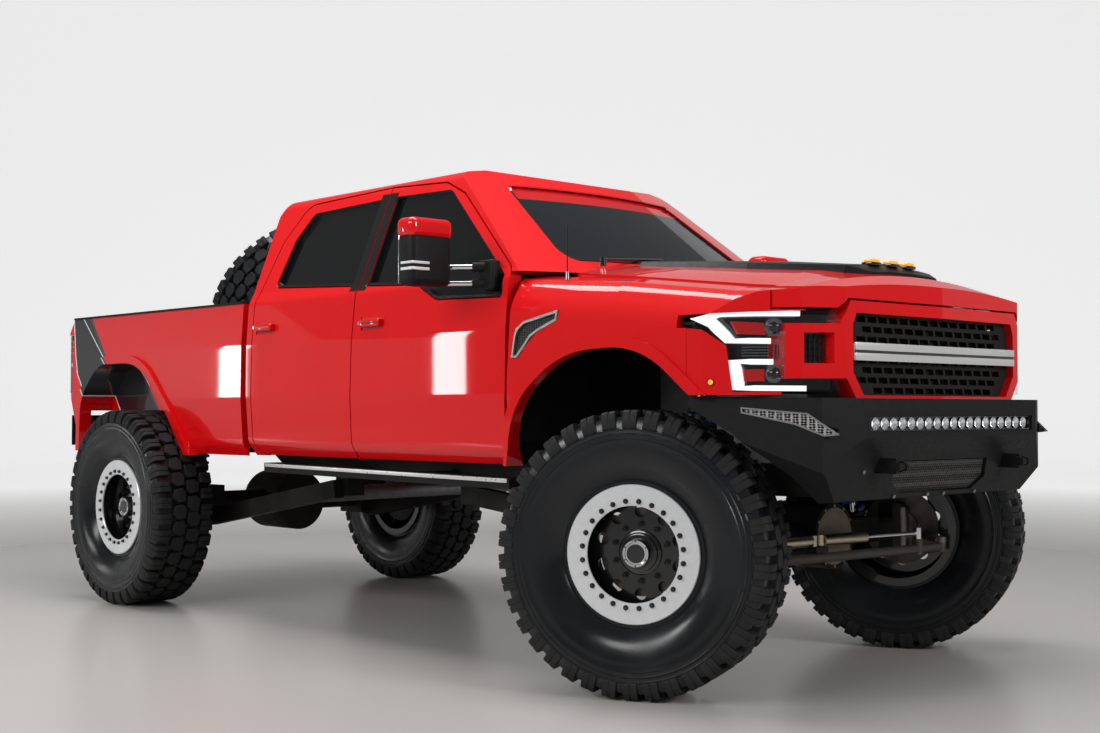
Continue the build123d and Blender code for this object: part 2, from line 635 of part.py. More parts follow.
# Raised black cowl on the hood, with three marker lamps across its front
hood_profile = hood_sections[:-1] + nose_sections[1:]
cowl_sections = [(-500, 430, 22), (100, 400, 30), (560, 330, 34), (640, 250, 12)]
with BuildPart() as hood_cowl:
    faces = []
    for station, half, rise in cowl_sections:
        row = next(i for i in range(len(hood_profile) - 1) if hood_profile[i + 1][0] >= station)
        (x0, c0, e0, h0), (x1, c1, e1, h1) = hood_profile[row], hood_profile[row + 1]
        share = (station - x0) / (x1 - x0)
        centre = c0 + (c1 - c0) * share
        edge = e0 + (e1 - e0) * share
        reach = h0 + (h1 - h0) * share
        drop = (centre - edge) * (half / reach) ** 2
        with BuildSketch(across(station)) as section:
            with BuildLine():
                Line((-half, centre - drop - 8), (half, centre - drop - 8))
                Line((half, centre - drop - 8), (half * 0.94, centre - drop + rise))
                ThreePointArc((half * 0.94, centre - drop + rise), (0, centre + rise),
                              (-half * 0.94, centre - drop + rise))
                Line((-half * 0.94, centre - drop + rise), (-half, centre - drop - 8))
            make_face()
        faces.append(section.sketch)
    loft(faces, ruled=True)
    add(hood.part, mode=Mode.SUBTRACT)
keep(hood_cowl.part, "hood_cowl")

arch_rows = [
    (-765, 700), (-745, 905), (-715, 1175, 350), (-400, 1400, 600), (60, 1415, 500), (400, 1150), (330, 700),
]
lip_width = 48           # raised lip round the wheel arches
lip_height = 20
vent_rows = [
    (-733, 1380), (-714, 1484, 40), (-652, 1542, 40), (-426, 1583), (-438, 1533), (-566, 1492, 40),
    (-634, 1438, 30), (-695, 1378),
]
vent_depth = 12
with BuildPart() as fender:
    add(fender_form(0))
    with BuildPart(mode=Mode.PRIVATE) as lip:
        side_block(arch_rows, -940, -body_half - lip_height, inset=-lip_width)
        box((fender_sections[0][0], 900), (-1100, -900), (sill_bottom, 1600), Mode.INTERSECT)
    add(lip.part)
    side_block(arch_rows, -600, -1100, Mode.SUBTRACT)
    add(fender_form(34), mode=Mode.SUBTRACT)
    box((-900, 900), (-1100, -600), (600, sill_bottom), Mode.SUBTRACT)
    box((290, 900), (-1100, -600), (600, bumper_top + 5), Mode.SUBTRACT)
    across_block(lamp_rows, 250, 900, Mode.SUBTRACT, -seat_gap)
    box((600, 900), (-850, -600), (1180, 1490), Mode.SUBTRACT)
    box((700, 900), (-690, -600), (1180, 1590), Mode.SUBTRACT)
    box((nose_sections[0][0] - running_gap, 900), (-hood_corner - running_gap, -600),
        (hood_corner_bottom - running_gap, 1750), Mode.SUBTRACT)
    side_block(vent_rows, -body_half + vent_depth, -1100, Mode.SUBTRACT)
    side_block(front_door_rows, -600, -1100, Mode.SUBTRACT, -running_gap)
keep_pair(fender.part, "fender")

# Lamps, set into the nose
with BuildPart() as headlamps:
    level_block(nose_plan, 1100, 1700)
    level_block(nose_plan, 1100, 1700, Mode.SUBTRACT, 70)
    across_block(lamp_rows, 330, 900, Mode.INTERSECT)
    mirror(about=Plane.XZ)
keep(headlamps.part, "headlamps")

# Grille: red surround with two bracket boxes, a black lattice and a bright bar
surround_rows = twin([(-560, 1172), (-656, 1300), (-656, 1500), (-610, 1576)])
opening_rows = twin([(-530, 1209), (-597, 1300), (-597, 1480), (-575, 1529)])
bracket_rows = [(-630, 1273), (-838, 1273), (-838, 1484), (-630, 1484)]
inlet_rows = [(-681, 1331), (-788, 1331), (-788, 1449), (-681, 1449)]
grille_front = 818
with BuildPart() as grille_surround:
    level_block(nose_plan, 1100, 1700)
    level_block(nose_plan, 1100, 1700, Mode.SUBTRACT, 75)
    with BuildPart(mode=Mode.PRIVATE) as front_view:
        across_block(surround_rows, 500, 900)
        across_block(opening_rows, 500, 900, Mode.SUBTRACT)
        for handed in (bracket_rows, [(-y, z) for y, z in bracket_rows]):
            across_block(handed, 500, 900)
        for handed in (inlet_rows, [(-y, z) for y, z in inlet_rows]):
            across_block(handed, 500, 900, Mode.SUBTRACT)
    add(front_view.part, mode=Mode.INTERSECT)
keep(grille_surround.part, "grille_surround")

lattice_rows = 8
lattice_columns = 15
lattice_pitch = 74
cell_points = [(-33, 12), (-27, -12), (33, -12), (27, 12)]
with BuildPart() as grille_mesh:
    with BuildSketch(across(745)):
        with BuildLine():
            Polyline(*opening_rows, close=True)
        make_face()
        offset(amount=-seat_gap, mode=Mode.REPLACE)
        cells = []
        for row in range(lattice_rows):
            stagger = 18 if row % 2 else -18
            for column in range(lattice_columns):
                y = (column - (lattice_columns - 1) / 2) * lattice_pitch + stagger
                if abs(y) < (450 if row == 0 else 505):
                    cells.append((y, 1229 + row * 40))
        with Locations(*cells):
            Polygon(*cell_points, mode=Mode.SUBTRACT)
    extrude(amount=20)
keep(grille_mesh.part, "grille_mesh")

with BuildPart() as grille_bar:
    box((765.3, 800), (-594, 594), (1346, 1413))
keep(grille_bar.part, "grille_bar")

# Front bumper
bumper_plan = [
    (300, -1000), (800, -802), (880, -638), (880, 638), (800, 802), (300, 1000), (200, 1000), (200, -1000),
]
bumper_hollow = [
    (150, -975), (788, -784), (860, -628), (860, 628), (788, 784), (150, 975),
]
bumper_hollow_side = [(150, 1190), (850, 1190), (835, 1150), (835, 1014), (757, 818), (150, 818)]
bumper_side = [
    (312, bumper_top), (866, bumper_top - 8), (880, 1150), (880, 1046), (838, 985), (770, 800), (690, 790),
    (640, 900), (470, 1060), (300, 1165),
]
bumper_front = twin([(-1010, 1230), (-1010, 1120), (-670, 780)])
wing_slot_rows = [(510, 1161), (746, 1139), (856, 1060), (812, 1054), (700, 1100), (512, 1142)]
skid_recess_rows = twin([(-271, 818), (-350, 873), (-325, 950)])
wall = 14                # wing and skid plates
with BuildPart() as front_bumper:
    level_block(bumper_plan, 780, 1220)
    side_block(bumper_side, 1100, -1100, Mode.INTERSECT)
    across_block(bumper_front, 100, 950, Mode.INTERSECT)
    with BuildPart(mode=Mode.PRIVATE) as hollow:
        level_block(bumper_hollow, 780, 1195)
        side_block(bumper_hollow_side, 1100, -1100, Mode.INTERSECT)
        across_block(bumper_front, 100, 950, Mode.INTERSECT, wall)
    add(hollow.part, mode=Mode.SUBTRACT)
    # slots in the wings, and the opening in the skid plate
    for y_from, y_to in ((1100, 740), (-740, -1100)):
        side_block(wing_slot_rows, y_from, y_to, Mode.SUBTRACT)
    across_block(skid_recess_rows, 700, 900, Mode.SUBTRACT)
    level_block([(150, -720), (650, -720), (700, -640), (834, -600), (834, 600), (700, 640), (650, 720),
                 (150, 720)], 1180, 1220, Mode.SUBTRACT)
    box((800, 900), (-605, 605), (1068, 1128), Mode.SUBTRACT)
keep(front_bumper.part, "front_bumper")

with BuildPart() as light_bar:
    box((800.3, 872), (-604.7, 604.7), (1068.3, 1127.7))
keep(light_bar.part, "light_bar")

with BuildPart() as tow_shackles:
    for y in (-461, 461):
        side_block([(809, 905), (905, 905), (905, 965), (831.1, 965)], y + 14, y - 14)
        rod((915, y - 34, 933), (915, y + 34, 933), 14)
        for ear in (y - 30, y + 18):
            side_block([(890, 909, 8), (890, 957, 8), (933, 946, 6), (933, 920, 6)], ear + 12, ear)
keep(tow_shackles.part, "tow_shackles")

# Wheel liners behind the arches
with BuildPart() as wheel_liners:
    # under the fender: out to its skin, and in front of the door
    side_block([(-745, 1010), (-745, 1500), (312, 1500), (312, 1225), (300, 1225), (300, 1488), (-733, 1488),
                (-733, 1010)], -776, -1000)
    add(fender_form(34 + seat_gap), mode=Mode.INTERSECT)
    side_block([(-774.7, 960), (-774.7, 1500), (520, 1500), (600, 1215), (588, 1215), (510, 1488),
                (-762.7, 1488), (-762.7, 960)], -500, -778)
    box((-774.7, -762.7), (-878, -776), (960, 1500))
    box((-774.7, -740), (-878, -776), (1488, 1500))
    mirror(about=Plane.XZ)
keep(wheel_liners.part, "wheel_liners")

# Bed
bed_side = [
    (bed_front, 893), (bed_front, bed_rail), (-5038, bed_rail), (-5094, 1660), (-5045, 1226), (-4960, 905),
]
bed_half_section = [
    (-935, 893), (-985, 965, 90), (-body_half - 3, 1220, 300), (-body_half, 1500, 400),
    (-984, bed_rail),
]
bed_arch_rows = [
    (-4900, 780), (-4885, 1230, 250), (-4640, 1442, 300), (-4110, 1440, 450), (-3765, 1125, 250), (-3467, 780),
]
gate_inner = -5028
with BuildPart() as bed_box:
    side_block(bed_side, 1200, -1200)
    across_block(twin(bed_half_section), bed_tail - 100, bed_front, Mode.INTERSECT)
    for y_from, y_to in ((body_half + lip_height, 950), (-950, -body_half - lip_height)):
        with BuildPart(mode=Mode.PRIVATE) as lip:
            side_block(bed_arch_rows, y_from, y_to, inset=-lip_width)
            box((-5200, -3000), (-1100, 1100), (893, 1600), Mode.INTERSECT)
        add(lip.part)
    box((bed_tail - 100, bed_front - 50), (-bed_wall_inner, bed_wall_inner), (bed_floor, 1800), Mode.SUBTRACT)
    box((bed_tail - 100, bed_front + 10), (-940, 940), (800, bed_floor - 50), Mode.SUBTRACT)
    box((bed_tail - 100, gate_inner + 10), (-bed_wall_inner, bed_wall_inner), (800, 1800), Mode.SUBTRACT)
    side_block(bed_arch_rows, 1200, bed_wall_inner + 12, Mode.SUBTRACT)
    side_block(bed_arch_rows, -bed_wall_inner - 12, -1200, Mode.SUBTRACT)
    for flank in (-1, 1):
        box((-5110, -5030 + seat_gap), sorted((flank * 814.7, flank * 1010)), (1259.7, 1640.3), Mode.SUBTRACT)
keep(bed_box.part, "bed_box")

# Caps along the bed's rails
with BuildPart() as bed_caps:
    box((-5040, bed_front - 2), (-990, -bed_wall_inner - 2), (bed_rail, bed_rail + 12))
    mirror(about=Plane.XZ)
keep(bed_caps.part, "bed_caps")

# Tail lamps in the bed's rear corners
with BuildPart() as tail_lamps:
    box((-5098, -5030), (-990, -815), (1260, 1640))
    mirror(about=Plane.XZ)
keep(tail_lamps.part, "tail_lamps")

# Tailgate, hinged along its lower edge
gate_half = bed_wall_inner - running_gap
gate_thickness = 58
with BuildPart() as tailgate:
    box((gate_inner - gate_thickness, gate_inner), (-gate_half, gate_half), (bed_floor + 3, bed_rail - 4))
    box((gate_inner - gate_thickness - 1, gate_inner - gate_thickness + 14), (-560, 560),
        (bed_floor + 90, bed_rail - 130), Mode.SUBTRACT)
    # hinge pins into the bed's sides
    for flank in (-1, 1):
        rod((gate_inner, flank * (gate_half - 15), bed_floor + 3),
            (gate_inner, flank * (bed_wall_inner - seat_gap), bed_floor + 3), 8)
keep(tailgate.part, "tailgate")

# Rear bumper on its two irons, with the receiver of a two-inch hitch
receiver_half = 32
receiver_bore = 25.5
receiver_low = 856
hitch_pin_radius = 8
with BuildPart() as rear_bumper:
    level_block([(-5100, -970), (-5176, -850), (-5176, 850), (-5100, 970)], 925, 1120)
    for flank in (-1, 1):
        box((-5100, -5095.3), sorted((flank * rail_inner, flank * rail_outer)), (855, 1000))
    # receiver with its hitch-pin hole
    box((-5176, -5040), (-receiver_half, receiver_half), (receiver_low, receiver_low + 2 * receiver_half))
    box((-5190, -5030), (-receiver_bore, receiver_bore),
        (receiver_low + receiver_half - receiver_bore, receiver_low + receiver_half + receiver_bore), Mode.SUBTRACT)
    rod((-5120, -60, receiver_low + receiver_half), (-5120, 60, receiver_low + receiver_half), hitch_pin_radius,
        Mode.SUBTRACT)
    box((-5100, -5040), (-40, 40), (receiver_low + 2 * receiver_half - 4, 930))
keep(rear_bumper.part, "rear_bumper")

# Spare wheel, standing in the bed behind the cab
spare_lean = 38          # its top rests towards the cab
with BuildPart() as spare_wheel:
    add(tyre_form.part)
    add(rim_form.part)
spare = spare_wheel.part.rotate(Axis.Z, 90).moved(Location((front_axle - 3520, -190, 0), (0, spare_lean, 0)))
keep(spare.moved(Location((0, 0, bed_floor + seat_gap - spare.bounding_box().min.Z))), "spare_wheel")

# Mirrors on their double arms
mirror_rows = [(-1342, 1704, 40), (-1349, 1960, 60), (-1300, 2010, 60), (-1125, 2000, 40), (-1109, 1704, 40)]
with BuildPart() as door_mirror:
    across_block(mirror_rows, -1125, -1000)
    rod((-1062, -1115, 1800), (-910, -990, 1800), 12)
    rod((-1062, -1115, 1725), (-910, -990, 1725), 12)
    box((-960, -850), (-1006, -930), (1690, 1835))
    add(cab_clear, mode=Mode.SUBTRACT)
keep_pair(door_mirror.part, "mirror")
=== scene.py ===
# Dresses the truck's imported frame: paint, glass, tyres, wheels, lamps, grille, seats and small fittings.
import json
import math
import bmesh
import bpy
from mathutils import Matrix, Vector

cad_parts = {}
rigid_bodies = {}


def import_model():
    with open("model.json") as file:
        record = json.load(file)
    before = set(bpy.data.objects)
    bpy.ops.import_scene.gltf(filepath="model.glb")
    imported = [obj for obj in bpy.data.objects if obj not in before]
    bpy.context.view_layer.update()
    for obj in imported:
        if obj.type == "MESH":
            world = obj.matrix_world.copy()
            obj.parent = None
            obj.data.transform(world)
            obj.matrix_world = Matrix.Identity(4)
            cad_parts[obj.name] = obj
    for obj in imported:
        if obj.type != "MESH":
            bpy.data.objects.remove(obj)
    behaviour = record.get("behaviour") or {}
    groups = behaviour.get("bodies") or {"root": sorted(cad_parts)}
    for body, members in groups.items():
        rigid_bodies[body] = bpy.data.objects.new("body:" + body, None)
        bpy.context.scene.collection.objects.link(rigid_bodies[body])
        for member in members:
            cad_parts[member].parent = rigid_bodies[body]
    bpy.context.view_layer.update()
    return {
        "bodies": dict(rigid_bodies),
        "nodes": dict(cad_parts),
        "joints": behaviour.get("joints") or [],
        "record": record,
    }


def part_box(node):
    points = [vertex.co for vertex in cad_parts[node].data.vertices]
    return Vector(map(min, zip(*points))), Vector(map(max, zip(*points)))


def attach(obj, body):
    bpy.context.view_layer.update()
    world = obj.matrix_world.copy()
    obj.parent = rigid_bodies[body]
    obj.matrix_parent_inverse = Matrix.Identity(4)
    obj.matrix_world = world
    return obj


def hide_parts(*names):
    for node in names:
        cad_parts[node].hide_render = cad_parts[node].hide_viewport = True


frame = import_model()
nodes = frame["nodes"]
mm = 0.001
axleX = 2.1215                          # the front axle, in metres ahead of the origin
wheelbase = 4059                        # from axle to axle, in millimetres
tyreRadius = 577
hands = ((1, "left"), (-1, "right"))    # the sign of a flank, and its name


# A place in millimetres: ahead of the front axle, left of the centre line, above the ground.
def spot(x, y, z):
    return Vector((axleX + x * mm, y * mm, z * mm))


def flankLimits(flank, inner, outer):
    # two distances from the centre line as limits in rising order, on one flank
    return tuple(sorted((flank * inner, flank * outer)))


print("frame loaded")


# Shader groups: each reads a vector and plain numbers, and puts out masks or heights.
def newGroup(name, outputs, **values):
    tree = bpy.data.node_groups.new(name, "ShaderNodeTree")
    tree.interface.new_socket("Vector", in_out="INPUT", socket_type="NodeSocketVector")
    for label, value in values.items():
        socket = tree.interface.new_socket(label, in_out="INPUT", socket_type="NodeSocketFloat")
        socket.default_value = value
    for label in outputs:
        tree.interface.new_socket(label, in_out="OUTPUT", socket_type="NodeSocketFloat")
    given, wanted = tree.nodes.new("NodeGroupInput"), tree.nodes.new("NodeGroupOutput")
    return tree, given.outputs, wanted.inputs


def addNode(tree, kind, **values):
    node = tree.nodes.new(kind)
    for key, value in values.items():
        setattr(node, key, value)
    return node


def addMath(tree, operation, first, second=None, clamp=False):
    node = addNode(tree, "ShaderNodeMath", operation=operation, use_clamp=clamp)
    for socket, value in zip(node.inputs, (first, second)):
        if isinstance(value, (int, float)):
            socket.default_value = value
        elif value is not None:
            tree.links.new(value, socket)
    return node.outputs[0]


def allOf(tree, *masks):
    # 1 where every mask is 1
    product = masks[0]
    for mask in masks[1:]:
        product = addMath(tree, "MULTIPLY", product, mask)
    return product


def splitVector(tree, vector):
    node = addNode(tree, "ShaderNodeSeparateXYZ")
    tree.links.new(vector, node.inputs[0])
    return node.outputs


def addRange(tree, value, source=(0.0, 1.0), target=(0.0, 1.0)):
    node = addNode(tree, "ShaderNodeMapRange")
    tree.links.new(value, node.inputs["Value"])
    for label, limit in zip(("From Min", "From Max", "To Min", "To Max"), source + target):
        node.inputs[label].default_value = limit
    return node.outputs["Result"]


def makeGrainGroup():       # moulded or cast grain: a mask for colour and roughness, a height for bump
    tree, given, wanted = newGroup("surfaceGrain", ["Mask", "Height"], Scale=60.0)
    broad, fine = addNode(tree, "ShaderNodeTexNoise"), addNode(tree, "ShaderNodeTexNoise")
    for noise in (broad, fine):
        tree.links.new(given["Vector"], noise.inputs["Vector"])
    tree.links.new(addMath(tree, "MULTIPLY", given["Scale"], 0.06), broad.inputs["Scale"])
    tree.links.new(given["Scale"], fine.inputs["Scale"])
    fine.inputs["Detail"].default_value = 4.0
    tree.links.new(broad.outputs["Fac"], wanted["Mask"])
    tree.links.new(fine.outputs["Fac"], wanted["Height"])
    return tree


def makeDustGroup():        # dust that thins out with height above the ground
    tree, given, wanted = newGroup("roadDust", ["Mask"], Top=1.0, Amount=0.3)
    height = splitVector(tree, given["Vector"])["Z"]
    noise = addNode(tree, "ShaderNodeTexNoise")
    noise.inputs["Scale"].default_value = 9.0
    noise.inputs["Detail"].default_value = 6.0
    tree.links.new(given["Vector"], noise.inputs["Vector"])
    fall = addMath(tree, "SUBTRACT", 1.0, addMath(tree, "DIVIDE", height, given["Top"]), True)
    patch = addMath(tree, "MULTIPLY", fall, noise.outputs["Fac"])
    tree.links.new(addMath(tree, "MULTIPLY", patch, given["Amount"], True), wanted["Mask"])
    return tree


def makeFlakeGroup():       # metal flakes under a clear coat
    tree, given, wanted = newGroup("paintFlake", ["Mask"], Scale=900.0)
    cells = addNode(tree, "ShaderNodeTexVoronoi")
    tree.links.new(given["Vector"], cells.inputs["Vector"])
    tree.links.new(given["Scale"], cells.inputs["Scale"])
    split = addNode(tree, "ShaderNodeSeparateColor")
    tree.links.new(cells.outputs["Color"], split.inputs[0])
    tree.links.new(split.outputs["Red"], wanted["Mask"])
    return tree


def makeWeaveGroup():       # crossed threads
    tree, given, wanted = newGroup("seatWeave", ["Height", "Mask"], Scale=260.0)
    threads = []
    for direction in ("X", "Z"):
        wave = addNode(tree, "ShaderNodeTexWave", bands_direction=direction)
        tree.links.new(given["Vector"], wave.inputs["Vector"])
        tree.links.new(given["Scale"], wave.inputs["Scale"])
        wave.inputs["Distortion"].default_value = 0.4
        threads.append(wave.outputs["Fac"])
    tree.links.new(allOf(tree, *threads), wanted["Height"])
    tree.links.new(threads[0], wanted["Mask"])
    return tree


def makeSideGroup():        # how far ahead of a slanted line a place lies, seen from the truck's side
    tree, given, wanted = newGroup("sideLine", ["Ahead"], X=0.0, Z=0.0, Lean=0.0)
    place = splitVector(tree, given["Vector"])
    rise = addMath(tree, "SUBTRACT", place["Z"], given["Z"])
    line = addMath(tree, "ADD", given["X"], addMath(tree, "MULTIPLY", rise, given["Lean"]))
    tree.links.new(addMath(tree, "SUBTRACT", place["X"], line), wanted["Ahead"])
    return tree


def makeHoleGroup():        # rows of staggered holes: the mask is 1 in a hole, 0 on the metal
    tree, given, wanted = newGroup("plateHoles", ["Mask", "Height"], Scale=60.0)
    cells = addNode(tree, "ShaderNodeTexVoronoi")
    cells.inputs["Randomness"].default_value = 0.12
    tree.links.new(given["Vector"], cells.inputs["Vector"])
    tree.links.new(given["Scale"], cells.inputs["Scale"])
    tree.links.new(addMath(tree, "LESS_THAN", cells.outputs["Distance"], 0.50), wanted["Mask"])
    tree.links.new(cells.outputs["Distance"], wanted["Height"])
    return tree


groups = {"grain": makeGrainGroup(), "dust": makeDustGroup(), "flake": makeFlakeGroup(),
          "weave": makeWeaveGroup(), "side": makeSideGroup(), "holes": makeHoleGroup()}


def placeGroup(tree, kind, vector, **values):
    node = addNode(tree, "ShaderNodeGroup", node_tree=groups[kind])
    tree.links.new(vector, node.inputs["Vector"])
    for key, value in values.items():
        node.inputs[key].default_value = value
    return node


def mixColors(tree, mask, first, second):
    node = addNode(tree, "ShaderNodeMix", data_type="RGBA")
    for socket, value in ((node.inputs[6], first), (node.inputs[7], second)):
        if isinstance(value, tuple):
            socket.default_value = value + (1.0,)
        else:
            tree.links.new(value, socket)
    tree.links.new(mask, node.inputs[0])
    return node.outputs[2]


# finishes: colour, a second colour it varies to, roughness from and to, and what else each one needs
looks = {
    "redPaint": dict(color=(0.56, 0.0015, 0.0035), second=(0.66, 0.003, 0.005), rough=(0.50, 0.58), coat=0.9,
                     flake=1400, shine=0.06),
    "blackGloss": dict(color=(0.004, 0.004, 0.0045), second=(0.007, 0.007, 0.008), rough=(0.12, 0.22),
                       coat=1.0),
    "cowlBlack": dict(color=(0.007, 0.007, 0.008), second=(0.012, 0.012, 0.013), rough=(0.30, 0.42), grain=700,
                      depth=0.05, shine=0.13),
    "bumperBlack": dict(color=(0.006, 0.006, 0.0065), second=(0.012, 0.012, 0.0125), rough=(0.42, 0.58),
                        grain=900, depth=0.22, dust=0.03, shine=0.13),
    "chassisBlack": dict(color=(0.006, 0.006, 0.0065), second=(0.014, 0.0135, 0.013), rough=(0.35, 0.6),
                         grain=160, depth=0.12, dust=0.08, shine=0.13),
    "moulded": dict(color=(0.007, 0.007, 0.0075), second=(0.014, 0.014, 0.0145), rough=(0.5, 0.68), grain=1100,
                    depth=0.2, shine=0.13),
    "latticeBlack": dict(color=(0.010, 0.0095, 0.009), second=(0.018, 0.017, 0.016), rough=(0.38, 0.5),
                         grain=800, depth=0.1, shine=0.13),
    "sidewall": dict(color=(0.004, 0.0048, 0.006), second=(0.008, 0.0095, 0.012), rough=(0.16, 0.34), grain=60,
                     depth=0.05, dust=0.02, shine=0.38),
    "treadRubber": dict(color=(0.007, 0.0075, 0.009), second=(0.017, 0.0175, 0.0185), rough=(0.42, 0.68),
                        grain=320, depth=0.18, dust=0.07, shine=0.13),
    "wheelBlack": dict(color=(0.003, 0.003, 0.0035), second=(0.006, 0.006, 0.0065), rough=(0.14, 0.24),
                       coat=0.8),
    "machined": dict(color=(0.78, 0.79, 0.80), second=(0.66, 0.67, 0.69), rough=(0.20, 0.27), metal=0.4,
                     grain=900, depth=0.02),
    "brushed": dict(color=(0.70, 0.70, 0.69), second=(0.60, 0.60, 0.59), rough=(0.26, 0.36), metal=0.5,
                    grain=420, depth=0.10, stretch=(1.0, 0.03, 1.0)),
    "chrome": dict(color=(0.80, 0.81, 0.83), second=(0.72, 0.73, 0.75), rough=(0.05, 0.10), metal=1.0),
    "steel": dict(color=(0.36, 0.36, 0.37), second=(0.22, 0.22, 0.23), rough=(0.32, 0.5), metal=1.0, grain=260,
                  depth=0.08, dust=0.1),
    "castTan": dict(color=(0.30, 0.235, 0.17), second=(0.20, 0.155, 0.11), rough=(0.5, 0.7), grain=240,
                    depth=0.35),
    "springBlue": dict(color=(0.012, 0.085, 0.34), second=(0.02, 0.12, 0.42), rough=(0.18, 0.28), coat=0.6),
    "damperGold": dict(color=(0.62, 0.55, 0.42), second=(0.5, 0.45, 0.35), rough=(0.22, 0.34), metal=1.0),
    "linkBrown": dict(color=(0.03, 0.022, 0.018), second=(0.05, 0.038, 0.03), rough=(0.35, 0.5), grain=300,
                      depth=0.1),
    "meshGrey": dict(color=(0.42, 0.40, 0.37), second=(0.34, 0.32, 0.30), rough=(0.36, 0.5), metal=0.8,
                     grain=500, depth=0.08),
    "wingMesh": dict(color=(0.50, 0.49, 0.47), second=(0.004, 0.004, 0.004), rough=(0.34, 0.6), metal=0.5,
                     holes=84, stretch=(0.8, 1.0, 1.25), depth=0.6),
    "darkMesh": dict(color=(0.045, 0.043, 0.042), second=(0.002, 0.002, 0.002), rough=(0.34, 0.6), metal=0.5,
                     holes=80, stretch=(0.8, 0.8, 1.25), depth=0.6),
    "seatLeather": dict(color=(0.016, 0.015, 0.015), second=(0.030, 0.028, 0.027), rough=(0.42, 0.58),
                        grain=520, depth=0.35),
    "seatCloth": dict(color=(0.022, 0.022, 0.024), second=(0.042, 0.042, 0.045), rough=(0.8, 0.95), weave=300,
                      depth=0.35),
    "brakeIron": dict(color=(0.22, 0.21, 0.20), second=(0.12, 0.10, 0.09), rough=(0.35, 0.55), metal=1.0,
                      grain=300, depth=0.1),
    "whitePaint": dict(color=(0.66, 0.67, 0.68), second=(0.6, 0.61, 0.62), rough=(0.3, 0.4), coat=0.5),
    "lampRed": dict(color=(0.45, 0.008, 0.010), second=(0.55, 0.014, 0.014), rough=(0.10, 0.18), coat=1.0,
                    grain=90, depth=0.15),
}
dustForm = dict(color=(0.16, 0.145, 0.125), top=1.5, amount=2.0, roughens=0.5)
bumpDistance = 0.0006


def newMaterial(name):
    material = bpy.data.materials.new(name)
    material.use_nodes = True
    tree = material.node_tree
    place = addNode(tree, "ShaderNodeTexCoord").outputs["Object"]
    return material, tree, tree.nodes["Principled BSDF"], place


def buildLook(name):
    look = looks[name]
    material, tree, shader, place = newMaterial(name)
    mapping = addNode(tree, "ShaderNodeMapping")
    mapping.inputs["Scale"].default_value = look.get("stretch", (1.0, 1.0, 1.0))
    tree.links.new(place, mapping.inputs["Vector"])
    vector = mapping.outputs["Vector"]
    pattern = next((kind for kind in ("weave", "holes") if kind in look), "grain")
    surface = placeGroup(tree, pattern, vector, Scale=look.get(pattern, 50.0))
    mask = surface.outputs["Mask"]
    if "flake" in look:
        mask = placeGroup(tree, "flake", vector, Scale=look["flake"]).outputs["Mask"]
    color = mixColors(tree, mask, look["color"], look["second"])
    roughness = addRange(tree, surface.outputs["Mask"], (0.3, 0.7), look["rough"])
    if "dust" in look:
        dust = placeGroup(tree, "dust", place, Top=dustForm["top"], Amount=look["dust"] * dustForm["amount"])
        color = mixColors(tree, dust.outputs["Mask"], color, dustForm["color"])
        rise = addMath(tree, "MULTIPLY", dust.outputs["Mask"], dustForm["roughens"])
        roughness = addMath(tree, "ADD", roughness, rise, True)
    tree.links.new(color, shader.inputs["Base Color"])
    tree.links.new(roughness, shader.inputs["Roughness"])
    shader.inputs["Metallic"].default_value = look.get("metal", 0.0)
    shader.inputs["Specular IOR Level"].default_value = look.get("shine", 0.5)
    shader.inputs["Coat Weight"].default_value = look.get("coat", 0.0)
    shader.inputs["Coat Roughness"].default_value = 0.03
    if "depth" in look:
        bump = addNode(tree, "ShaderNodeBump")
        bump.inputs["Strength"].default_value = look["depth"]
        bump.inputs["Distance"].default_value = bumpDistance
        tree.links.new(surface.outputs["Height"], bump.inputs["Height"])
        tree.links.new(bump.outputs["Normal"], shader.inputs["Normal"])
    return material


materials = {name: buildLook(name) for name in looks}


def copyRedPaint(name):
    material = materials["redPaint"].copy()
    material.name = name
    tree = material.node_tree
    shader = tree.nodes["Principled BSDF"]
    place = addNode(tree, "ShaderNodeTexCoord").outputs["Object"]
    return material, tree, shader, shader.inputs["Base Color"].links[0].from_socket, place


# the bed: red sides with a charcoal field and light pin stripes before the tail, and a black liner inside;
# each line is (ahead of the front axle, height, lean)
bedGraphic = dict(
    front=(-4517, 1435, -0.897), pinFront=(-4549, 1440, -1.202), pinRear=(-4959, 1387, -0.252),
    pinLow=(-4843, 1237, -0.773), pinWidth=0.011, edgeWidth=0.030, margin=0.01,
    fieldColor=(0.012, 0.012, 0.014), edgeColor=(0.045, 0.045, 0.05), pinColor=(0.7, 0.71, 0.73),
    linerColors=((0.016, 0.016, 0.017), (0.034, 0.034, 0.035)), linerGrain=240.0, linerHalf=0.786,
    linerFoot=1.16, paintRough=0.28, linerRougher=0.5,
)


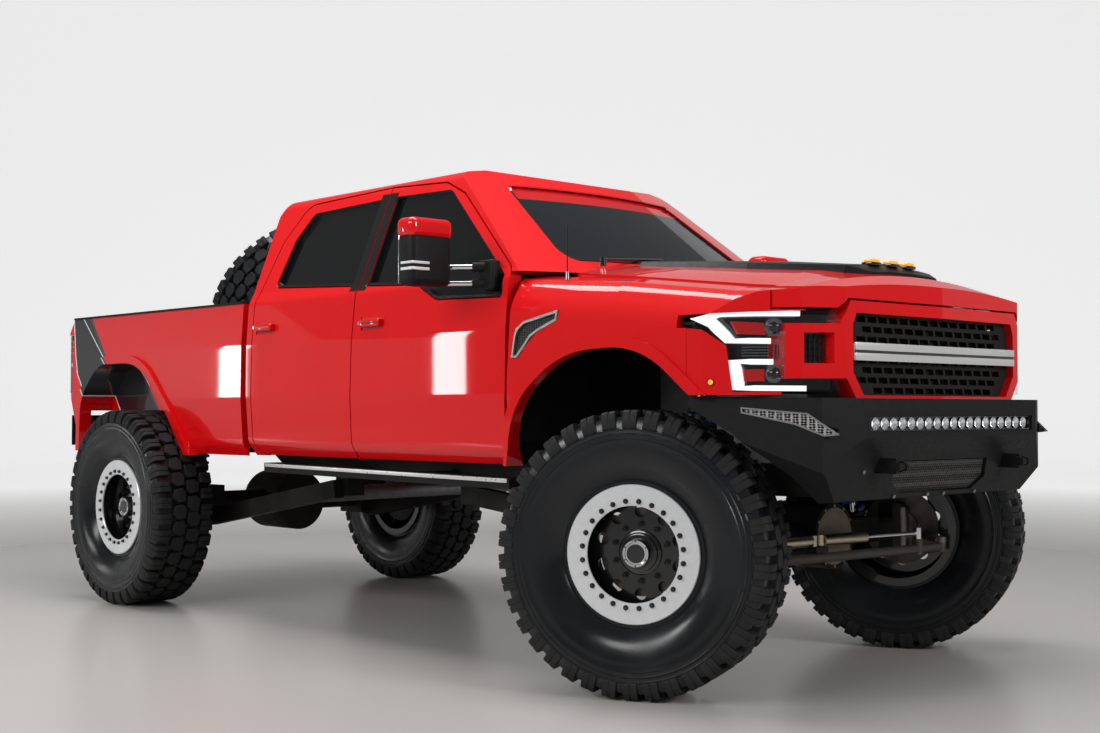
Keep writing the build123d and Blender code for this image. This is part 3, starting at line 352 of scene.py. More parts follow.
def buildBedPaint():
    form = bedGraphic
    material, tree, shader, red, place = copyRedPaint("bedPaint")

    def ahead(key, shift=0.0):
        x, z, lean = form[key]
        return placeGroup(tree, "side", place, X=axleX + x * mm + shift, Z=z * mm, Lean=lean).outputs["Ahead"]

    def between(shift):
        return allOf(tree, addMath(tree, "LESS_THAN", ahead("front", shift), 0.0),
                     addMath(tree, "GREATER_THAN", ahead("pinRear", -shift), 0.0),
                     addMath(tree, "GREATER_THAN", ahead("pinLow", -shift), 0.0))

    field = between(0.0)
    edge = allOf(tree, field, addMath(tree, "GREATER_THAN", ahead("front", -form["edgeWidth"]), 0.0))
    pins = 0.0
    for key in ("pinFront", "pinRear", "pinLow"):
        near = addMath(tree, "LESS_THAN", addMath(tree, "ABSOLUTE", ahead(key)), form["pinWidth"] * 0.5)
        pins = addMath(tree, "MAXIMUM", pins, near)
    pins = allOf(tree, pins, between(form["margin"]))
    color = mixColors(tree, field, red, form["fieldColor"])
    color = mixColors(tree, edge, color, form["edgeColor"])
    color = mixColors(tree, pins, color, form["pinColor"])
    axes = splitVector(tree, place)
    within = allOf(tree, addMath(tree, "LESS_THAN", addMath(tree, "ABSOLUTE", axes["Y"]), form["linerHalf"]),
                   addMath(tree, "GREATER_THAN", axes["Z"], form["linerFoot"]))
    grain = placeGroup(tree, "grain", place, Scale=form["linerGrain"])
    liner = mixColors(tree, grain.outputs["Mask"], *form["linerColors"])
    tree.links.new(mixColors(tree, within, color, liner), shader.inputs["Base Color"])
    dull = addMath(tree, "ADD", addMath(tree, "MULTIPLY", within, form["linerRougher"]), form["paintRough"])
    tree.links.new(dull, shader.inputs["Roughness"])
    tree.links.new(addMath(tree, "SUBTRACT", 1.0, within), shader.inputs["Coat Weight"])
    return material


# the cab: red outside, dark on its front wall, inside and under its floor;
# each dark region lies ahead of a station, below a height and within a distance of the centre line
cabDark = dict(regions=[(-850, 1765, 930), (-2900, 1740, 880)], floorTop=905, color=(0.012, 0.012, 0.013))


def buildCabPaint():
    material, tree, shader, red, place = copyRedPaint("cabPaint")
    axes = splitVector(tree, place)
    dark = addMath(tree, "LESS_THAN", axes["Z"], cabDark["floorTop"] * mm)
    for station, top, half in cabDark["regions"]:
        region = allOf(tree, addMath(tree, "GREATER_THAN", axes["X"], axleX + station * mm),
                       addMath(tree, "LESS_THAN", axes["Z"], top * mm),
                       addMath(tree, "LESS_THAN", addMath(tree, "ABSOLUTE", axes["Y"]), half * mm))
        dark = addMath(tree, "MAXIMUM", dark, region)
    tree.links.new(mixColors(tree, dark, red, cabDark["color"]), shader.inputs["Base Color"])
    tree.links.new(addMath(tree, "SUBTRACT", 1.0, dark), shader.inputs["Coat Weight"])
    return material


materials["bedPaint"] = buildBedPaint()
materials["cabPaint"] = buildCabPaint()


# clear and tinted glass; the windscreen has a red band above a height
glassLooks = {
    "screenGlass": dict(color=(0.012, 0.015, 0.017), rough=0.02, alpha=0.74,
                        band=(2.178, (0.55, 0.012, 0.016))),
    "tintedGlass": dict(color=(0.004, 0.0045, 0.005), rough=0.03, alpha=0.93),
    "lampGlass": dict(color=(0.012, 0.012, 0.014), rough=0.02, alpha=0.20),
    "clearGlass": dict(color=(0.85, 0.87, 0.9), rough=0.02, alpha=0.10),
    "mirrorFace": dict(color=(0.75, 0.77, 0.8), rough=0.03, alpha=1.0, metal=1.0),
}
bandAlpha = 0.82


def buildGlass(name):
    look = glassLooks[name]
    material, tree, shader, place = newMaterial(name)
    surface = placeGroup(tree, "grain", place, Scale=14.0)
    color = mixColors(tree, surface.outputs["Mask"], look["color"], tuple(c * 1.25 for c in look["color"]))
    shader.inputs["Alpha"].default_value = look["alpha"]
    if "band" in look:
        foot, tint = look["band"]
        axes = splitVector(tree, place)
        band = allOf(tree, addMath(tree, "GREATER_THAN", axes["Z"], foot),
                     addMath(tree, "GREATER_THAN", axes["X"], 0.0))
        color = mixColors(tree, band, color, tint)
        alpha = addMath(tree, "MAXIMUM", addMath(tree, "MULTIPLY", band, bandAlpha), look["alpha"])
        tree.links.new(alpha, shader.inputs["Alpha"])
    tree.links.new(color, shader.inputs["Base Color"])
    roughness = addRange(tree, surface.outputs["Mask"], target=(look["rough"], look["rough"] + 0.03))
    tree.links.new(roughness, shader.inputs["Roughness"])
    shader.inputs["Metallic"].default_value = look.get("metal", 0.0)
    shader.inputs["Coat Weight"].default_value = 0.6
    return material


# lit lenses: colour and how strongly they glow
glowLooks = {"whiteGlow": ((0.92, 0.95, 1.0), 0.9), "amberGlow": ((1.0, 0.36, 0.02), 0.55),
             "ledLens": ((0.62, 0.64, 0.66), 0.12)}


def buildGlow(name):
    tint, strength = glowLooks[name]
    material, tree, shader, place = newMaterial(name)
    surface = placeGroup(tree, "grain", place, Scale=240.0)
    color = mixColors(tree, surface.outputs["Mask"], tint, tuple(c * 0.9 for c in tint))
    tree.links.new(color, shader.inputs["Base Color"])
    tree.links.new(color, shader.inputs["Emission Color"])
    shader.inputs["Emission Strength"].default_value = strength
    shader.inputs["Roughness"].default_value = 0.15
    shader.inputs["Coat Weight"].default_value = 1.0
    return material


materials.update({name: buildGlass(name) for name in glassLooks})
materials.update({name: buildGlow(name) for name in glowLooks})
print("materials built")

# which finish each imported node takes; a pair of nodes is named once, without its hand
nodeLooks = {
    "cab_shell": "cabPaint", "bed_box": "bedPaint", "hood": "redPaint", "fender": "redPaint",
    "front_door": "redPaint", "rear_door": "redPaint", "tailgate": "redPaint", "grille_surround": "redPaint",
    "hood_cowl": "cowlBlack", "front_bumper": "bumperBlack", "rear_bumper": "bumperBlack",
    "tow_shackles": "bumperBlack", "side_steps": "moulded", "bed_caps": "moulded", "wheel_liners": "moulded",
    "dashboard": "moulded", "frame_rails": "chassisBlack", "front_axle": "chassisBlack",
    "rear_axle": "chassisBlack", "suspension_arms": "chassisBlack", "coilovers": "springBlue",
    "engine_block": "steel", "driveline": "steel", "tie_rod": "linkBrown", "knuckle": "brakeIron",
    "damper": "damperGold", "damper_shaft": "chrome", "cab_glass": "screenGlass", "front_glass": "tintedGlass",
    "rear_glass": "tintedGlass", "seats": "seatCloth", "headlamps": "lampGlass", "light_bar": "lampGlass",
    "tail_lamps": "lampRed", "grille_mesh": "latticeBlack", "grille_bar": "brushed",
    "spare_wheel": "treadRubber", "mirror": "blackGloss",
}
for nodeName, node in nodes.items():
    pairName = nodeName.removesuffix("_left").removesuffix("_right")
    plainLook = "treadRubber" if nodeName.startswith("tyre") else "wheelBlack"
    node.data.materials.clear()
    node.data.materials.append(materials[nodeLooks.get(pairName, plainLook)])
print("nodes finished")


def setSlot(faces, slotIndex):
    for face in faces:
        face.material_index = slotIndex


def facesOf(verts):
    return list({f for v in verts for f in v.link_faces})


def spinRows(bm, rows, steps, slotIndex=0):
    # turns rows of (along Y, radius) about the Y axis
    verts = [bm.verts.new((0.0, y * mm, r * mm)) for y, r in rows]
    edges = [bm.edges.new(pair) for pair in zip(verts, verts[1:])]
    known = set(bm.faces)
    bmesh.ops.spin(bm, geom=verts + edges, cent=(0, 0, 0), axis=(0, 1, 0), dvec=(0, 0, 0), angle=2 * math.pi,
                   steps=steps, use_merge=True, use_duplicate=False)
    setSlot([f for f in bm.faces if f not in known], slotIndex)


def dressSolid(bm, verts, slotIndex, bevel, segments):
    faces = facesOf(verts)
    setSlot(faces, slotIndex)
    if bevel:
        edges = list({e for f in faces for e in f.edges})
        bmesh.ops.bevel(bm, geom=edges, offset=bevel * mm, offset_type="OFFSET", affect="EDGES",
                        segments=segments, profile=0.5, material=-1, clamp_overlap=True)


def addBlock(bm, x, y, z, slotIndex=0, bevel=0.0, segments=1):
    # a block from its limits in millimetres, taken from the front axle, the centre line and the ground
    size = Matrix.Diagonal(((x[1] - x[0]) * mm, (y[1] - y[0]) * mm, (z[1] - z[0]) * mm, 1.0))
    middle = spot((x[0] + x[1]) / 2, (y[0] + y[1]) / 2, (z[0] + z[1]) / 2)
    made = bmesh.ops.create_cube(bm, size=1.0, matrix=Matrix.Translation(middle) @ size)
    dressSolid(bm, made["verts"], slotIndex, bevel, segments)


def pushFaces(bm, faces, vector):
    # extrudes faces along a vector, and gives back the vertices that moved
    made = bmesh.ops.extrude_face_region(bm, geom=faces)
    tips = [v for v in made["geom"] if isinstance(v, bmesh.types.BMVert)]
    bmesh.ops.translate(bm, verts=tips, vec=vector)
    return tips


def addPrism(bm, points, vector, slotIndex=0, bevel=0.0, segments=1, rim=0.0):
    # an outline of points, pushed out along a vector; with a rim, only the ring along its edge stays
    face = bm.faces.new([bm.verts.new(p) for p in points])
    faces = [face]
    if rim:
        face.normal_update()
        faces = bmesh.ops.inset_region(bm, faces=faces, thickness=rim * mm, use_boundary=True,
                                       use_even_offset=True)["faces"]
        bmesh.ops.delete(bm, geom=[face], context="FACES_ONLY")
    solid = list({v for f in facesOf(pushFaces(bm, faces, vector)) for v in f.verts})
    bmesh.ops.recalc_face_normals(bm, faces=facesOf(solid))
    dressSolid(bm, solid, slotIndex, bevel, segments)


def addPlate(bm, points, facing, depth, slotIndex=0, rim=0.0, bevel=0.0):
    # the same with a depth in millimetres, and a rounder bevel
    addPrism(bm, points, facing * depth * mm, slotIndex, bevel, 2, rim)


def uprightAlong(vector):
    # the turn that sets the Z axis along a vector
    return vector.to_track_quat("Z", "Y").to_matrix().to_4x4()


def addRod(bm, start, end, radius, segments=16, slotIndex=0, endRadius=None):
    # a round bar between two points; radii in millimetres
    along = end - start
    tipRadius = radius if endRadius is None else endRadius
    made = bmesh.ops.create_cone(bm, cap_ends=True, segments=segments, radius1=radius * mm,
                                 radius2=tipRadius * mm, depth=along.length,
                                 matrix=Matrix.Translation((start + end) / 2) @ uprightAlong(along))
    setSlot(facesOf(made["verts"]), slotIndex)


def wireCircle(bm, radius, wire, segments):
    # a round section beside the Z axis, to be spun about it
    made = bmesh.ops.create_circle(bm, cap_ends=False, segments=segments, radius=wire * mm,
                                   matrix=Matrix.Translation((radius * mm, 0, 0))
                                   @ Matrix.Rotation(math.pi / 2, 4, "X"))
    return made["verts"], list({e for v in made["verts"] for e in v.link_edges})


def finishPiece(bm, name, body, finishes, replaced=(), sharpAngle=35, weld=True):
    if weld:
        bmesh.ops.remove_doubles(bm, verts=bm.verts, dist=1e-6)
    mesh = bpy.data.meshes.new(name)
    bm.to_mesh(mesh)
    bm.free()
    for finish in finishes:
        mesh.materials.append(materials[finish])
    mesh.shade_smooth()
    mesh.set_sharp_from_angle(angle=math.radians(sharpAngle))
    piece = bpy.data.objects.new(name, mesh)
    bpy.context.scene.collection.objects.link(piece)
    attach(piece, body)
    if replaced:
        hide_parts(*replaced)
    return piece


# tyres and wheels are made at the origin with the outer face towards +Y, and set down by a matrix
tyreForm = dict(lugs=38, steps=152, lugHalf=29, sipe=2.2, sipeDepth=7, blockTop=575.4, blockFoot=549.0)
sidewallRows = [(128, 262), (128, 294), (136, 302), (155, 322), (174, 358), (186, 400), (190, 430),
                (188.6, 452), (190, 455), (190, 459), (187.4, 462), (186.6, 474), (188.6, 477),
                (188.6, 481), (184.6, 484), (183.4, 494), (185.4, 497), (185.4, 501), (180, 505),
                (175, 530), (165, 547), (140, 551)]
shoulderLug = [(94, 549), (98, 574.5), (104, 576.1), (158, 575.2), (171, 567), (181, 546), (187, 508),
               (184, 502), (172, 504), (163, 545)]
centreBlock = [(-37, 9), (16, 5), (40, 27), (33, 74), (-16, 86), (-42, 58)]    # (along the tread, across it)


def turnAboutAxle(angle):
    return Matrix.Rotation(angle, 4, "Y")


def repeatSector(sector, count):
    # copies one sector round the axle until it fills the circle
    bmesh.ops.spin(sector, geom=sector.verts[:] + sector.edges[:] + sector.faces[:], cent=(0, 0, 0),
                   axis=(0, 1, 0), dvec=(0, 0, 0), angle=2 * math.pi - 2 * math.pi / count, steps=count - 1,
                   use_duplicate=True)


def joinMesh(bm, part):
    # moves one bmesh into another
    mesh = bpy.data.meshes.new("joined")
    part.to_mesh(mesh)
    part.free()
    bm.from_mesh(mesh)
    bpy.data.meshes.remove(mesh)


def buildTyre():
    bm = bmesh.new()
    rows = [(-y, r) for y, r in sidewallRows] + [(y, r) for y, r in reversed(sidewallRows)]
    spinRows(bm, rows + [rows[0]], tyreForm["steps"])
    pitch = 2 * math.pi / tyreForm["lugs"]
    half, sipe, floor = tyreForm["lugHalf"], tyreForm["sipe"], tyreForm["blockFoot"]
    sector = bmesh.new()
    for side, shift in ((1, 0.0), (-1, 0.5)):
        # each lug is two blocks with a narrow bridge in the sipe between them
        turn = turnAboutAxle(pitch * shift)
        for low, high, sink, bevel in ((-half, -sipe, 0, 1.6), (sipe, half, 0, 1.6),
                                       (-sipe * 1.01, sipe * 1.01, tyreForm["sipeDepth"], 0.0)):
            points = [turn @ Vector((low * mm, side * y * mm, (r - sink) * mm)) for y, r in shoulderLug]
            addPrism(sector, points, turn @ Vector(((high - low) * mm, 0, 0)), 1, bevel)
        turn = turnAboutAxle(pitch * (shift + 0.45))
        points = [turn @ Vector((side * t * mm, side * w * mm, floor * mm)) for t, w in centreBlock]
        addPrism(sector, points, turn @ Vector((0, 0, (tyreForm["blockTop"] - floor) * mm)), 1, 2.0)
    repeatSector(sector, tyreForm["lugs"])
    joinMesh(bm, sector)
    bmesh.ops.recalc_face_normals(bm, faces=bm.faces[:])
    return bm


wheelForm = dict(
    steps=96, holes=10, holeRadius=167, holeSize=25, discInner=88, discOuter=229, discFace=40, discDepth=14,
    # fasteners round the axle: (count, turn of the first, radius, rods); a rod: (from, to, radius, sides, end)
    fasteners=[(24, 0.5, 213, [(143, 145.5, 11, 16, 11), (145.5, 154, 8.2, 6, 8.2)]),
               (10, 0.0, 115, [(40, 46, 17, 16, 17), (46, 70, 12.5, 6, 11.5), (70, 80, 7, 10, 5)]),
               (6, 0.0, 50, [(104, 107.5, 3.4, 6, 3.4)])],
)
barrelRows = [(-143, 279), (-128, 279), (-127, 262), (-60, 258), (60, 258), (127, 262), (127.9, 262),
              (128, 240), (116, 236), (60, 233), (41, 228), (26, 226), (20, 230), (-20, 240), (-143, 242),
              (-143, 279)]
ringRows = [(128, 204), (128, 277), (131, 279), (140, 279), (143, 276), (143, 196), (141, 193.5), (134, 193),
            (128, 204)]
hubRows = [(39, 92), (48, 90), (52, 82), (52, 78), (60, 76), (62, 70), (62, 58)]
capRows = [(60, 58), (100, 57), (105, 54), (105, 46), (102, 44), (102, 0.01)]


def buildWheel():
    bm = bmesh.new()
    spinRows(bm, barrelRows, wheelForm["steps"], 0)
    spinRows(bm, hubRows, 60, 0)
    # the disc: one sector with its hand hole, turned round the hub
    sector = bmesh.new()
    count, inner, outer = 16, wheelForm["discInner"], wheelForm["discOuter"]
    size, middle = wheelForm["holeSize"], wheelForm["holeRadius"]
    share = 2 * math.pi / wheelForm["holes"]
    border, hole = [], []
    for step in range(count):
        # the sector's border is walked as four equal sides, and the hole from the same corner
        quarter, part = divmod(step, count // 4)
        t = part / (count // 4)
        radius, angle = [(inner + (outer - inner) * t, -0.5), (outer, -0.5 + t),
                         (outer - (outer - inner) * t, 0.5), (inner, 0.5 - t)][quarter]
        border.append((radius * math.sin(angle * share), radius * math.cos(angle * share)))
        around = math.radians(225) - 2 * math.pi * step / count
        hole.append((size * math.cos(around), middle + size * math.sin(around)))
    edges = []
    for ring in (border, hole):
        verts = [sector.verts.new((x * mm, wheelForm["discFace"] * mm, z * mm)) for x, z in ring]
        edges += [sector.edges.new((verts[i], verts[(i + 1) % count])) for i in range(count)]
    bmesh.ops.bridge_loops(sector, edges=edges)
    repeatSector(sector, wheelForm["holes"])
    bmesh.ops.remove_doubles(sector, verts=sector.verts, dist=1e-5)
    bmesh.ops.recalc_face_normals(sector, faces=sector.faces[:])
    bmesh.ops.solidify(sector, geom=sector.faces[:], thickness=wheelForm["discDepth"] * mm)
    joinMesh(bm, sector)
    spinRows(bm, ringRows, wheelForm["steps"], 1)
    spinRows(bm, capRows, 48, 2)
    addRod(bm, Vector((0, 0.100, 0)), Vector((0, 0.1035, 0)), 38, 32, 0)
    for count, first, radius, rods in wheelForm["fasteners"]:
        for index in range(count):
            turn = turnAboutAxle(2 * math.pi * (index + first) / count)
            for low, high, thick, sides, thin in rods:
                start, end = (turn @ Vector((0, y * mm, radius * mm)) for y in (low, high))
                addRod(bm, start, end, thick, sides, 0, thin)
    return bm


steerRest = Matrix.Rotation(math.radians(25), 4, "Z")
halfTurn = Matrix.Rotation(math.pi, 4, "Z")
spareLow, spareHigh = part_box("spare_wheel")
wheelPlaces = {
    "front_left": Matrix.Translation(spot(0, 912, 0)) @ steerRest
    @ Matrix.Translation((0, 0.040, tyreRadius * mm)),
    "front_right": Matrix.Translation(spot(0, -912, 0)) @ steerRest
    @ Matrix.Translation((0, -0.040, tyreRadius * mm)) @ halfTurn,
    "rear_left": Matrix.Translation(spot(-wheelbase, 1033, tyreRadius)),
    "rear_right": Matrix.Translation(spot(-wheelbase, -1033, tyreRadius)) @ halfTurn,
    "spare": Matrix.Translation((spareLow + spareHigh) / 2) @ turnAboutAxle(math.radians(38))
    @ Matrix.Rotation(math.radians(90), 4, "Z"),
}
for place, matrix in wheelPlaces.items():
    spare = place == "spare"
    body = "chassis" if spare else "{0}_wheel_{1}".format(*place.split("_"))
    tyreMesh, wheelMesh = buildTyre(), buildWheel()
    for bm in (tyreMesh, wheelMesh):
        bmesh.ops.transform(bm, matrix=matrix, verts=bm.verts)
    finishPiece(tyreMesh, f"tyre_{place}_lugged", body, ["sidewall", "treadRubber"],
                ["spare_wheel"] if spare else [f"tyre_{place}"], 30, False)
    finishPiece(wheelMesh, f"wheel_{place}_ringed", body, ["wheelBlack", "machined", "chrome"],
                () if spare else [f"rim_{place}"], 30, False)
print("tyres and wheels done")

# the nose: how far ahead the front's skin stands, by the distance from the centre line
nosePlan = [(0, 818), (640, 795), (800, 700), (930, 560), (1000, 376), (1004, 300)]


def noseX(y, inside=0.0):
    reach = abs(y)
    for (y0, x0), (y1, x1) in zip(nosePlan, nosePlan[1:]):
        if reach <= y1:
            return x0 + (x1 - x0) * (reach - y0) / (y1 - y0) - inside
    return nosePlan[-1][1] - inside


def noseSpot(y, z, inside=0.0):
    # stands back from the skin along the plan's own slope
    slope = (noseX(abs(y) + 1) - noseX(abs(y) - 1)) / 2
    away = Vector((1.0, -slope)).normalized()
    shift = away * inside
    return spot(noseX(y) - shift.x, y - math.copysign(shift.y, y), z)


ribbonStep = 26


def noseRibbon(bm, path, width, inside, depth, slotIndex=0):
    # a flat bar that follows the nose along a path of (distance from the centre line, height)
    fine = []
    for (y0, z0), (y1, z1) in zip(path, path[1:]):
        count = max(1, int(math.hypot(y1 - y0, z1 - z0) / ribbonStep))
        fine += [(y0 + (y1 - y0) * i / count, z0 + (z1 - z0) * i / count) for i in range(count)]
    fine.append(path[-1])
    rings = []
    for index, (y, z) in enumerate(fine):
        (ya, za), (yb, zb) = fine[max(index - 1, 0)], fine[min(index + 1, len(fine) - 1)]
        along = Vector((yb - ya, zb - za)).normalized()
        across = Vector((-along.y, along.x)) * width / 2
        ring = []
        for sign, back in ((1, 0.0), (-1, 0.0), (-1, depth), (1, depth)):
            ring.append(bm.verts.new(noseSpot(y + sign * across.x, z + sign * across.y, inside + back)))
        rings.append(ring)
    faces = [bm.faces.new(ring) for ring in (rings[0], rings[-1])]
    for first, second in zip(rings, rings[1:]):
        for i in range(4):
            faces.append(bm.faces.new((first[i], first[(i + 1) % 4], second[(i + 1) % 4], second[i])))
    setSlot(faces, slotIndex)


# headlamps: two hooks of light, red fields and projectors, as (distance to the left, height) on the right flank
headlampForm = dict(
    pipes=[[(-798, 1521), (-977, 1522), (-993, 1508), (-961, 1418), (-876, 1416)],
           [(-870, 1336), (-956, 1337), (-950, 1236), (-777, 1234)]],
    pipeWidth=21,
    redFields=[[(-958, 1494), (-895, 1486), (-889, 1440), (-948, 1444)],
               [(-941, 1308), (-893, 1308), (-893, 1262), (-940, 1262)]],
    projectors=[(-868, 1470, 30), (-868, 1290, 28)],
    steps=[[(-945, 1360 + index * 11), (-880, 1360 + index * 11)] for index in range(5)],
    ribs=[[(-868 + index * 9, 1345), (-868 + index * 9, 1405)] for index in range(6)],
    housing=[(-1000, 1376), (-930, 1376), (-800, 1376), (-676, 1376)], housingHeight=290,
)


def buildHeadlamps():
    form = headlampForm
    bm = bmesh.new()
    for flip in (1, -1):
        # each kind of bar: (paths, width, distance behind the skin, depth, slot)
        bars = [(form["pipes"], form["pipeWidth"], 10, 22, 1), (form["steps"], 4, 20, 10, 3),
                (form["ribs"], 3, 22, 8, 3), ([form["housing"]], form["housingHeight"], 60, 6, 0)]
        for paths, width, inside, depth, slotIndex in bars:
            for path in paths:
                noseRibbon(bm, [(y * flip, z) for y, z in path], width, inside, depth, slotIndex)
        for field in form["redFields"]:
            points = [noseSpot(y * flip, z, 16) for y, z in field]
            addPrism(bm, points[::flip], Vector((-0.012, 0, 0)), 2)
        for y, z, radius in form["projectors"]:
            addRod(bm, noseSpot(y * flip, z, 58), noseSpot(y * flip, z, 20), radius + 6, 24, 3)
            made = bmesh.ops.create_uvsphere(bm, u_segments=24, v_segments=12, radius=radius * mm,
                                             matrix=Matrix.Translation(noseSpot(y * flip, z, 30)))
            setSlot(facesOf(made["verts"]), 4)
    bmesh.ops.recalc_face_normals(bm, faces=bm.faces[:])
    finishPiece(bm, "headlamp_insides", "chassis",
                ["blackGloss", "whiteGlow", "lampRed", "chrome", "screenGlass"], (), 30, False)


buildHeadlamps()


# mirrors: red caps over black housings, on two chrome arms
mirrorForm = dict(
    head=((-1125, -1000), (1109, 1349), (1704, 2010)), capFoot=1918, arms=(1800, 1725), inner=(-1062, 1115),
    outer=(-915, 990), markers=((1772, 1786), (1800, 1812)), foot=((-958, -858), (950, 1004), (1694, 1832)),
)


def buildMirror(flank, hand):
    bm = bmesh.new()
    (x0, x1), (y0, y1), (z0, z1) = mirrorForm["head"]
    foot = mirrorForm["capFoot"]

    addBlock(bm, (x0 + 6, x1 - 3), flankLimits(flank, y0 + 3, y1 - 3), (z0, foot + 30), 0, 34, 5)
    addBlock(bm, (x0 + 2, x1), flankLimits(flank, y0, y1), (foot, z1), 1, 30, 5)
    addBlock(bm, (x0, x0 + 8), flankLimits(flank, y0 + 18, y1 - 18), (z0 + 14, z1 - 14), 3, 3, 2)
    for low, high in mirrorForm["markers"]:
        addBlock(bm, (x0 + 40, x1 + 1), flankLimits(flank, y1 - 100, y1 - 1), (low, high), 2, 3, 2)
    (xi, yi), (xo, yo) = mirrorForm["inner"], mirrorForm["outer"]
    for z in mirrorForm["arms"]:
        addRod(bm, spot(xi, flank * yi, z), spot(xo, flank * yo, z), 11, 20, 4)
        addRod(bm, spot(xi + 100, flank * (yi - 85), z), spot(xo, flank * yo, z), 21, 20, 0)
    x, y, z = mirrorForm["foot"]
    addBlock(bm, x, flankLimits(flank, *y), z, 0, 14, 4)
    finishPiece(bm, f"mirror_{hand}_dressed", f"front_door_{hand}",
                ["bumperBlack", "redPaint", "whitePaint", "mirrorFace", "chrome"],
                [f"mirror_{hand}"], 40)


for flank, hand in hands:
    buildMirror(flank, hand)
print("mirrors done")


# a copy of part of a node's skin: faces that look one way, between limits, lifted off by a thickness
def skinPatch(nodeName, facing, limits, thickness):
    bm = bmesh.new()
    bm.from_mesh(nodes[nodeName].data)
    bmesh.ops.remove_doubles(bm, verts=bm.verts, dist=2e-5)
    bmesh.ops.delete(bm, geom=[f for f in bm.faces if f.normal.dot(facing) < 0.35], context="FACES")
    for point, normal in limits:
        bmesh.ops.bisect_plane(bm, geom=bm.verts[:] + bm.edges[:] + bm.faces[:], plane_co=point,
                               plane_no=normal, clear_outer=True)
    bmesh.ops.translate(bm, verts=bm.verts, vec=facing * 0.0004)
    pushFaces(bm, bm.faces[:], facing * thickness * mm)
    bmesh.ops.recalc_face_normals(bm, faces=bm.faces[:])
    return bm


# gloss black over the pillars between the side windows
pillarForm = {"front": (-1925, -1862), "rear": (-1996, -1934)}
pillarFoot, pillarHead = 1752, 2262
for flank, hand in hands:
    for place, (rear, ahead) in pillarForm.items():
        limits = [(spot(rear, 0, 0), Vector((-1, 0, 0))), (spot(ahead, 0, 0), Vector((1, 0, 0))),
                  (spot(0, 0, pillarFoot), Vector((0, 0, -1))), (spot(0, 0, pillarHead), Vector((0, 0, 1)))]
        patch = skinPatch(f"{place}_door_{hand}", Vector((0, flank, 0)), limits, 2.0)
        finishPiece(patch, f"{place}_pillar_trim_{hand}", f"{place}_door_{hand}", ["blackGloss"],
                    (), 30, False)


# rubber rings round the glass, filling the step between glass and skin; an end of 1 or -1 keeps one end's pane
def glassRing(nodeName, facing, width, lift, body, name, end=0):
    bm = bmesh.new()
    bm.from_mesh(nodes[nodeName].data)
    bmesh.ops.remove_doubles(bm, verts=bm.verts, dist=2e-5)
    away = [f for f in bm.faces if f.normal.dot(facing) < 0.4 or (end and f.calc_center_median().x * end <= 0)]
    bmesh.ops.delete(bm, geom=away, context="FACES")
    ring = bmesh.ops.inset_region(bm, faces=bm.faces[:], thickness=width * mm, use_boundary=True,
                                  use_even_offset=True)["faces"]
    bmesh.ops.delete(bm, geom=[f for f in bm.faces if f not in set(ring)], context="FACES")
    bmesh.ops.translate(bm, verts=bm.verts, vec=facing * 0.0005)
    pushFaces(bm, bm.faces[:], facing * lift * mm)
    bmesh.ops.recalc_face_normals(bm, faces=bm.faces[:])
    finishPiece(bm, name, body, ["blackGloss"], (), 30, False)


for flank, hand in hands:
    for place in ("front", "rear"):
        glassRing(f"{place}_glass_{hand}", Vector((0, flank, 0.35)).normalized(), 13, 22,
                  f"{place}_door_{hand}", f"{place}_glass_ring_{hand}")
glassRing("cab_glass", Vector((0.58, 0, 0.81)), 20, 7, "chassis", "windscreen_ring", 1)
glassRing("cab_glass", Vector((-1, 0, 0)), 14, 9, "chassis", "back_window_ring", -1)
print("trims done")


# fender vents: a grey bezel round a dark mesh; points are (ahead of the axle, height)
ventForm = dict(
    outline=[(-731, 1383), (-712, 1480), (-696, 1512), (-650, 1541), (-429, 1581), (-440, 1535), (-560, 1493),
             (-606, 1470), (-636, 1438), (-694, 1381)],
    floor=991, meshDepth=4, gap=0.2, bezelDepth=11, rim=11,
)


def buildVents():
    form = ventForm
    for flank, hand in hands:
        bm = bmesh.new()
        facing = Vector((0, flank, 0))
        bezelFoot = form["floor"] + form["meshDepth"] + form["gap"]
        for reach, depth, slotIndex, rim in ((form["floor"], form["meshDepth"], 0, 0),
                                             (bezelFoot, form["bezelDepth"], 1, form["rim"])):
            points = [spot(x, flank * reach, z) for x, z in form["outline"][::flank]]
            addPlate(bm, points, facing, depth, slotIndex, rim)
        finishPiece(bm, f"fender_vent_{hand}", "chassis", ["darkMesh", "meshGrey"])


# bumper: light mesh in the wings, dark mesh in the skid plate, bolts along the plate
bumperForm = dict(
    wing=[(503, -920, 1163), (748, -822, 1140), (862, -777, 1058), (806, -799, 1052), (700, -841, 1096),
          (505, -919, 1140)],
    wingInward=(-0.37, -0.93), wingSink=0.011,
    skid=[(-262, 824), (-340, 874), (-316, 946), (316, 946), (340, 874), (262, 824)], skidSink=14,
    bolts=[(-560, 905), (-300, 800), (-60, 800), (60, 800), (300, 800), (560, 905)],
    plateFoot=(770, 800), plateLean=(838 - 770) / (985 - 800),
)


